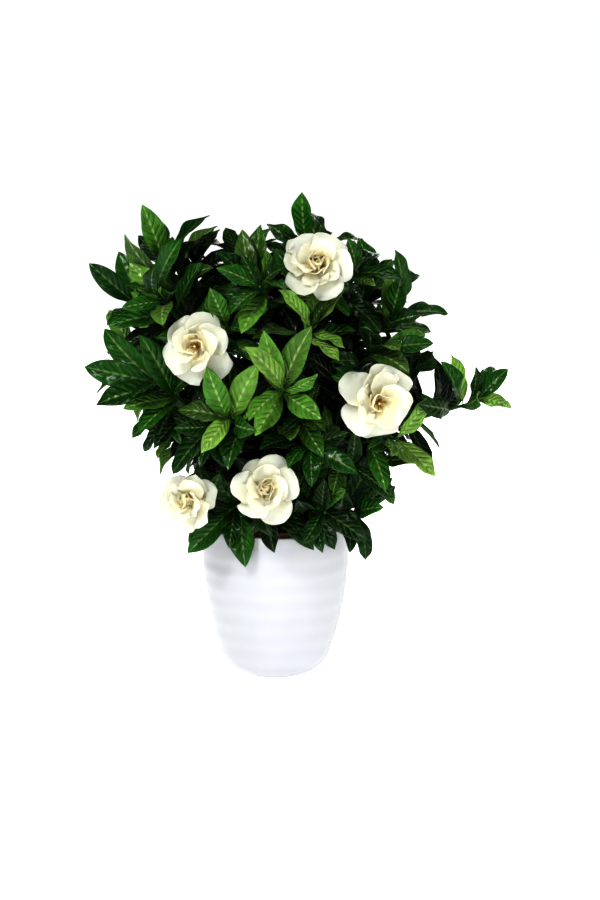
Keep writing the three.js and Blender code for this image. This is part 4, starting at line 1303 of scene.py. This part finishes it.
def clear_of_blooms(blade, shoots):
    """Whether a leaf keeps out of every bloom."""
    for shoot in shoots:
        if not shoot.plan.bloom:
            continue
        reach = shoot.plan.bloom[0] * BLOOM_ROOM.share
        middle = shoot.throat + shoot.look * BLOOM_ROOM.ahead
        for t in BLOOM_ROOM.tested:
            if (blade.root.lerp(blade.tip, t) - middle).length < reach:
                return False
    return True


def flat_sheets(blades):
    """Coarse sheets that follow the blades, to find where two leaves would cross."""
    shares = (0.1, 0.35, 0.6, 0.8, 0.97)
    corners, faces = [], []
    for blade in blades:
        first = len(corners)
        for u, (middle, side, up) in zip(shares, blade_rows(blade, shares)):
            half = blade.width / 2 * outline(u, blade.shape)
            lift = up * (half * sin(blade.fold))
            reach = side * (half * cos(blade.fold))
            corners += [middle - reach + lift, middle, middle + reach + lift]
        for a in range(first, first + 3 * len(shares) - 3, 3):
            faces += [(a, a + 1, a + 4, a + 3), (a + 1, a + 2, a + 5, a + 4)]
    return BVHTree.FromPolygons(corners, faces)


@cache
def leaf_sheets():
    """Coarse sheets of all the leaves of the shoots."""
    return flat_sheets([leaf for shoot in plant()[1] for leaf in shoot.leaves])


def inner_leaf(number, point, axis, turn):
    """A small leaf inside the crown, that leans away from the stem it stands on."""
    lean = radians(INNER_LEAF.lean + jitter(number, 2, INNER_LEAF.lean_spread))
    heading = off_stem(axis, radians(turn + jitter(number, 1, INNER_LEAF.turn_spread)), lean)
    reach = INNER_LEAF.length * (1 + jitter(number, 3, INNER_LEAF.length_spread))
    depth = min(1, (point + heading * reach / 2 - CROWN).length / CROWN_RADIUS)
    # Painted shade: the nearer the leaf stands to the middle of the crown, the darker its colour, with a
    # little random spread.
    shade = INNER_PAINTED_SHADE.least + INNER_PAINTED_SHADE.rise * depth**2 + jitter(number, 12, INNER_PAINTED_SHADE.spread)
    return Record(
        number=number, root=point, tip=point + heading * reach, shape=FINE_LEAF, depth=depth,
        shade=shade, face=((point - CROWN).normalized() * 0.5 + LIGHT * 0.6 + axis * 0.5).normalized(),
        roll=radians(jitter(number, 9, INNER_LEAF.roll)), width=reach * INNER_LEAF.ratio,
        arch=radians(INNER_LEAF.arch + jitter(number, 4, INNER_LEAF.arch_spread)),
        phase=draw(number, 10), **INNER_SHEET,
    )


def fitting_leaf(number, point, axis, turn, shoots):
    """A small leaf, turned about its stem until it crosses no leaf or bloom, or nothing."""
    for twist in INNER_LEAF.twists:
        leaf = inner_leaf(number, point, axis, turn + twist)
        hangs_out = leaf.depth > INNER_LEAF.edge and leaf.tip.z < leaf.root.z
        crosses = hangs_out or not clear_of_blooms(leaf, shoots)
        if not crosses and not leaf_sheets().overlap(flat_sheets([leaf])):
            return leaf
    return None


def inner_stems(limbs, shoots):
    """Every stem that carries small leaves, after its limb's name, with how they stand on it."""
    stems = [(name, path, *ON_LIMBS) for name, path in limbs.items()]
    for end in map(Vector, SPRAYS):
        path = twig_path(end, leafy_look(end), twig_roots(end, limbs)[0])
        stems.append((nearest_limb(path[0], limbs), path, *ON_SPRAYS))
    first, *others = ON_TWIGS
    for shoot in shoots:
        # They start behind the leaves that the shoot carries by its own rule.
        start = first + 9 * shoot.plan.more
        stems.append((nearest_limb(shoot.path[0], limbs), shoot.path, start, *others))
    return stems


def make_inner_leaves(limbs, shoots):
    """One piece of small leaves for each limb that carries them."""
    found = {name: [] for name in limbs}
    number = INNER_LEAF.first_number
    for name, path, back, spare, pitch, count, twist in inner_stems(limbs, shoots):
        while back < path_length(path) - spare:
            point, axis = along_path(path, back)
            for i in range(count):
                number += 1
                leaf = fitting_leaf(number, point, axis, 360 / count * i + twist * back, shoots)
                if leaf:
                    found[name].append(leaf)
            back += pitch
    for limb, blades in found.items():
        piece = grow_blades("inner_leaves_" + limb, blades, INNER_LEAF.rows, INNER_LEAF.ring_points,
                            "leaf", INNER_SKIN)
        keep(piece, "leaf")


def make_stamens(shoot):
    """The anthers and the pistil of an open bloom."""
    across = level_across(shoot.look)
    foot = shoot.throat + shoot.look * STAMENS.foot
    stalks = []
    for i in range(STAMENS.count):
        turn = STAMENS.turn * i + jitter(shoot.number + i, 22, STAMENS.turn_spread)
        out = turned(across, shoot.look, radians(turn))
        tip = foot + shoot.look * (STAMENS.length + jitter(i, 23, STAMENS.length_spread))
        tip += out * (STAMENS.lean + jitter(i, 24, STAMENS.lean_spread))
        middle = foot.lerp(tip, 0.6) + out * STAMENS.bow
        stalks.append([(foot, 0.4), (middle, 0.6), (tip.lerp(middle, 0.3), 0.8), (tip, 0.3)])
    name = "stamens_" + shoot.name.removeprefix("bloom_")
    anthers = grow_stalks(name, stalks, "anther", sides=6, bend=2, step=2)
    club = [(foot + shoot.look * height, radius) for height, radius in PISTIL]
    pistil = grow_stalks(name + "_pistil", [club], "petal", sides=10, bend=2, step=1.5)
    return keep(join(name, [anthers, pistil]), "petal")


# -------- sizes and colours of the panel
def whole(name, description, default, low):
    return bpy.props.IntProperty(name=name, description=description, default=default, min=low)


def length(name, description, millimetres):
    return bpy.props.FloatProperty(
        name=name, description=description, default=millimetres * MM, subtype="DISTANCE", unit="LENGTH",
    )


def paint(name, description, code):
    return bpy.props.FloatVectorProperty(
        name=name, description=description, default=linear(code), subtype="COLOR", size=3, min=0, max=1,
    )


class GardeniaSizes(bpy.types.PropertyGroup):
    """Sizes and counts that shape the finer pieces."""

    pot_sides: whole("Pot sides", "Faces round each pot", 128, 24)
    leaf_rows: whole("Leaf rows", "Cross sections along a leaf", 38, 6)
    leaf_ring: whole("Leaf ring", "Points round a leaf's cross section", 12, 6)
    petal_rows: whole("Petal rows", "Cross sections along a petal", 18, 6)
    petal_ring: whole("Petal ring", "Points round a petal's cross section", 20, 6)
    crumbs: bpy.props.FloatProperty(
        name="Crumbs", description="Soil crumbs per square millimetre", default=0.12, min=0,
    )
    floor_size: length("Floor size", "Side of the pale floor", 9000)
    camera_distance: length("Camera distance", "From the camera to the middle of the plant", 2400)


class GardeniaColours(bpy.types.PropertyGroup):
    """Colours of the plant, the pots and the floor."""

    leaf: paint("Leaf", "Upper side of a grown leaf", "#083e03")
    full_leaf: paint("Full leaf", "Upper side of a leaf of this year", "#2a6a10")
    young_leaf: paint("Young leaf", "Upper side of a young leaf", "#93b95a")
    leaf_underside: paint("Leaf underside", "Lower side of a leaf", "#3f6e30")
    vein: paint("Vein", "Midrib and side veins", "#c2d896")
    stem: paint("Stem", "Green twigs", "#3c6a26")
    bark: paint("Bark", "Cracks of the bark", "#3a2c20")
    bark_ridge: paint("Bark ridge", "Ridges of the bark", "#8a745a")
    petal: paint("Petal", "Edge and face of a petal", "#edebd6")
    # Partly the throat's own cream, partly painted shade in the depth of a bloom.
    petal_throat: paint("Petal throat", "Depth of a bloom", "#f6e2a0")
    anther: paint("Anther", "Anthers in the open blooms", "#8a5a1c")
    pollen: paint("Pollen", "Dust on the anthers", "#e0b040")
    glaze: paint("Glaze", "White glaze", "#c1c2c5")
    glaze_thick: paint("Thick glaze", "Glaze where it pools", "#bebfc4")
    # Painted shade on the turn of the pot's foot.
    clay: paint("Clay", "Fired clay under thin glaze", "#b1b2b7")
    grow_pot: paint("Grow pot", "Brown plastic", "#6b452f")
    grow_pot_worn: paint("Worn grow pot", "Scuffed brown plastic", "#7a5138")
    soil: paint("Soil", "Damp potting mix", "#1d1510")
    soil_dry: paint("Dry soil", "Dry crests of the mix", "#4a382a")
    perlite: paint("Perlite", "White grains in the mix", "#d8d4ca")
    floor: paint("Floor", "Backdrop paper", "#fcfcfc")


class GardeniaOperator:
    """What every piece's operator has in common."""

    bl_options = {"REGISTER", "UNDO"}

    @staticmethod
    def sizes(context):
        return context.scene.gardenia_sizes


class GARDENIA_OT_cover_pot(GardeniaOperator, bpy.types.Operator):
    """Turns the ribbed white cover pot"""

    bl_idname = "gardenia.cover_pot"
    bl_label = "Cover pot"

    def execute(self, context):
        make_cover_pot(self.sizes(context).pot_sides)
        return {"FINISHED"}


class GARDENIA_OT_grow_pot(GardeniaOperator, bpy.types.Operator):
    """Turns the brown grow pot and drills its drain holes"""

    bl_idname = "gardenia.grow_pot"
    bl_label = "Grow pot"

    def execute(self, context):
        make_grow_pot(self.sizes(context).pot_sides)
        return {"FINISHED"}


class GARDENIA_OT_soil(GardeniaOperator, bpy.types.Operator):
    """Fills the grow pot with potting mix, crumbs and perlite"""

    bl_idname = "gardenia.soil"
    bl_label = "Soil"

    def execute(self, context):
        make_soil(SOIL.sides, self.sizes(context).crumbs)
        return {"FINISHED"}


class GARDENIA_OT_wood(GardeniaOperator, bpy.types.Operator):
    """Grows the trunk and its limbs"""

    bl_idname = "gardenia.wood"
    bl_label = "Trunk and limbs"

    def execute(self, context):
        make_wood(plant()[0])
        return {"FINISHED"}


class GARDENIA_OT_shoots(GardeniaOperator, bpy.types.Operator):
    """Grows every leafy shoot"""

    bl_idname = "gardenia.shoots"
    bl_label = "Leafy shoots"

    def execute(self, context):
        sizes = self.sizes(context)
        for shoot in plant()[1]:
            make_shoot(shoot, sizes.leaf_rows, sizes.leaf_ring)
        return {"FINISHED"}


class GARDENIA_OT_blooms(GardeniaOperator, bpy.types.Operator):
    """Grows the petals of every bloom"""

    bl_idname = "gardenia.blooms"
    bl_label = "Blooms"

    def execute(self, context):
        sizes = self.sizes(context)
        for shoot in plant()[1]:
            if shoot.plan.bloom:
                make_bloom(shoot, sizes.petal_rows, sizes.petal_ring)
        return {"FINISHED"}


class GARDENIA_OT_inner_leaves(GardeniaOperator, bpy.types.Operator):
    """Fills the crown with small leaves"""

    bl_idname = "gardenia.inner_leaves"
    bl_label = "Inner leaves"

    def execute(self, context):
        make_inner_leaves(*plant())
        return {"FINISHED"}


class GARDENIA_OT_stamens(GardeniaOperator, bpy.types.Operator):
    """Sets the anthers and pistil in the open blooms"""

    bl_idname = "gardenia.stamens"
    bl_label = "Stamens"

    def execute(self, context):
        for shoot in plant()[1]:
            if shoot.name in OPEN_BLOOMS:
                make_stamens(shoot)
        return {"FINISHED"}


class GARDENIA_OT_stage(GardeniaOperator, bpy.types.Operator):
    """Sets the pale floor, the soft lights and the camera"""

    bl_idname = "gardenia.stage"
    bl_label = "Stage"

    def execute(self, context):
        make_stage(self.sizes(context))
        return {"FINISHED"}


class GARDENIA_PT_panel(bpy.types.Panel):
    """Lists the pieces with their sizes and colours"""

    bl_idname = "GARDENIA_PT_panel"
    bl_label = "Potted gardenia"
    bl_space_type = "VIEW_3D"
    bl_region_type = "UI"
    bl_category = "Gardenia"

    def draw(self, context):
        for operator in OPERATORS:
            self.layout.operator(operator.bl_idname)
        for group in (context.scene.gardenia_sizes, context.scene.gardenia_colours):
            box = self.layout.box()
            for name in group.bl_rna.properties.keys():
                if name not in ("rna_type", "name"):
                    box.prop(group, name)


# -------- stage
def aim(thing, target):
    """Points a lamp or the camera at a place."""
    thing.rotation_euler = (Vector(target) - thing.location).to_track_quat("-Z", "Y").to_euler()


def area_light(name, place, target, size, power, spread):
    lamp = bpy.data.lights.new(name, "AREA")
    lamp.shape = "DISK"
    lamp.size = size
    lamp.energy = power
    lamp.spread = radians(spread)
    made = bpy.data.objects.new(name, lamp)
    made.location = place
    aim(made, target)
    bpy.context.scene.collection.objects.link(made)


def white_room():
    """A white room that is brighter towards the floor, where the pale backdrop throws the light back."""
    world = bpy.data.worlds.new("White studio")
    world.use_nodes = True
    add = partial(node, world.node_tree)
    height = add(SPLIT, add(PLACE, out="Generated"), out="Z")
    strength = add(RANGE, height, ROOM.low, ROOM.high, ROOM.below, ROOM.above)
    # Gloss mirrors the lamps more than the white room, as it does on black velvet.
    mirrored = add("ShaderNodeLightPath", out="Is Glossy Ray")
    dimmed = add(RANGE, mirrored, 0.0, 1.0, 1.0, ROOM.mirrored)
    strength = add(MULTIPLY, strength, dimmed)
    background = world.node_tree.nodes["Background"]
    fill(world.node_tree, background, {"Color": (1, 1, 1, 1), "Strength": strength})
    return world


def make_stage(sizes):
    scene = bpy.context.scene
    half = sizes.floor_size / MM / 2
    corners = [(-half, -half, 0), (half, -half, 0), (half, half, 0), (-half, half, 0)]
    floor = mesh_object("floor", corners, faces=[(0, 1, 2, 3)])
    floor.data.materials.append(finish("paper"))

    for lamp in LAMPS:
        area_light(*lamp)
    scene.world = white_room()
    scene.view_settings.view_transform = "Standard"
    scene.view_settings.gamma = GAMMA

    lens = bpy.data.cameras.new("camera")
    lens.lens = 85
    lens.clip_end = 50
    camera = bpy.data.objects.new("camera", lens)
    rise = radians(CAMERA_RISE)
    camera.location = LOOK_AT + Vector((0, -cos(rise), sin(rise))) * sizes.camera_distance
    aim(camera, LOOK_AT)
    scene.collection.objects.link(camera)
    scene.camera = camera


OPERATORS = (
    GARDENIA_OT_cover_pot, GARDENIA_OT_grow_pot, GARDENIA_OT_soil, GARDENIA_OT_wood,
    GARDENIA_OT_shoots, GARDENIA_OT_blooms, GARDENIA_OT_stamens, GARDENIA_OT_inner_leaves,
    GARDENIA_OT_stage,
)
CLASSES = (GardeniaSizes, GardeniaColours, *OPERATORS, GARDENIA_PT_panel)


def register():
    for item in CLASSES:
        bpy.utils.register_class(item)
    bpy.types.Scene.gardenia_sizes = bpy.props.PointerProperty(type=GardeniaSizes)
    bpy.types.Scene.gardenia_colours = bpy.props.PointerProperty(type=GardeniaColours)


def unregister():
    del bpy.types.Scene.gardenia_sizes
    del bpy.types.Scene.gardenia_colours
    for item in reversed(CLASSES):
        bpy.utils.unregister_class(item)


def plain(box):
    """A box as plain lists of numbers."""
    return [[round(c, 6) for c in corner] for corner in box]


def main():
    register()
    for operator in OPERATORS:
        group, name = operator.bl_idname.split(".")
        getattr(getattr(bpy.ops, group), name)()


if __name__ == "__main__":
    main()
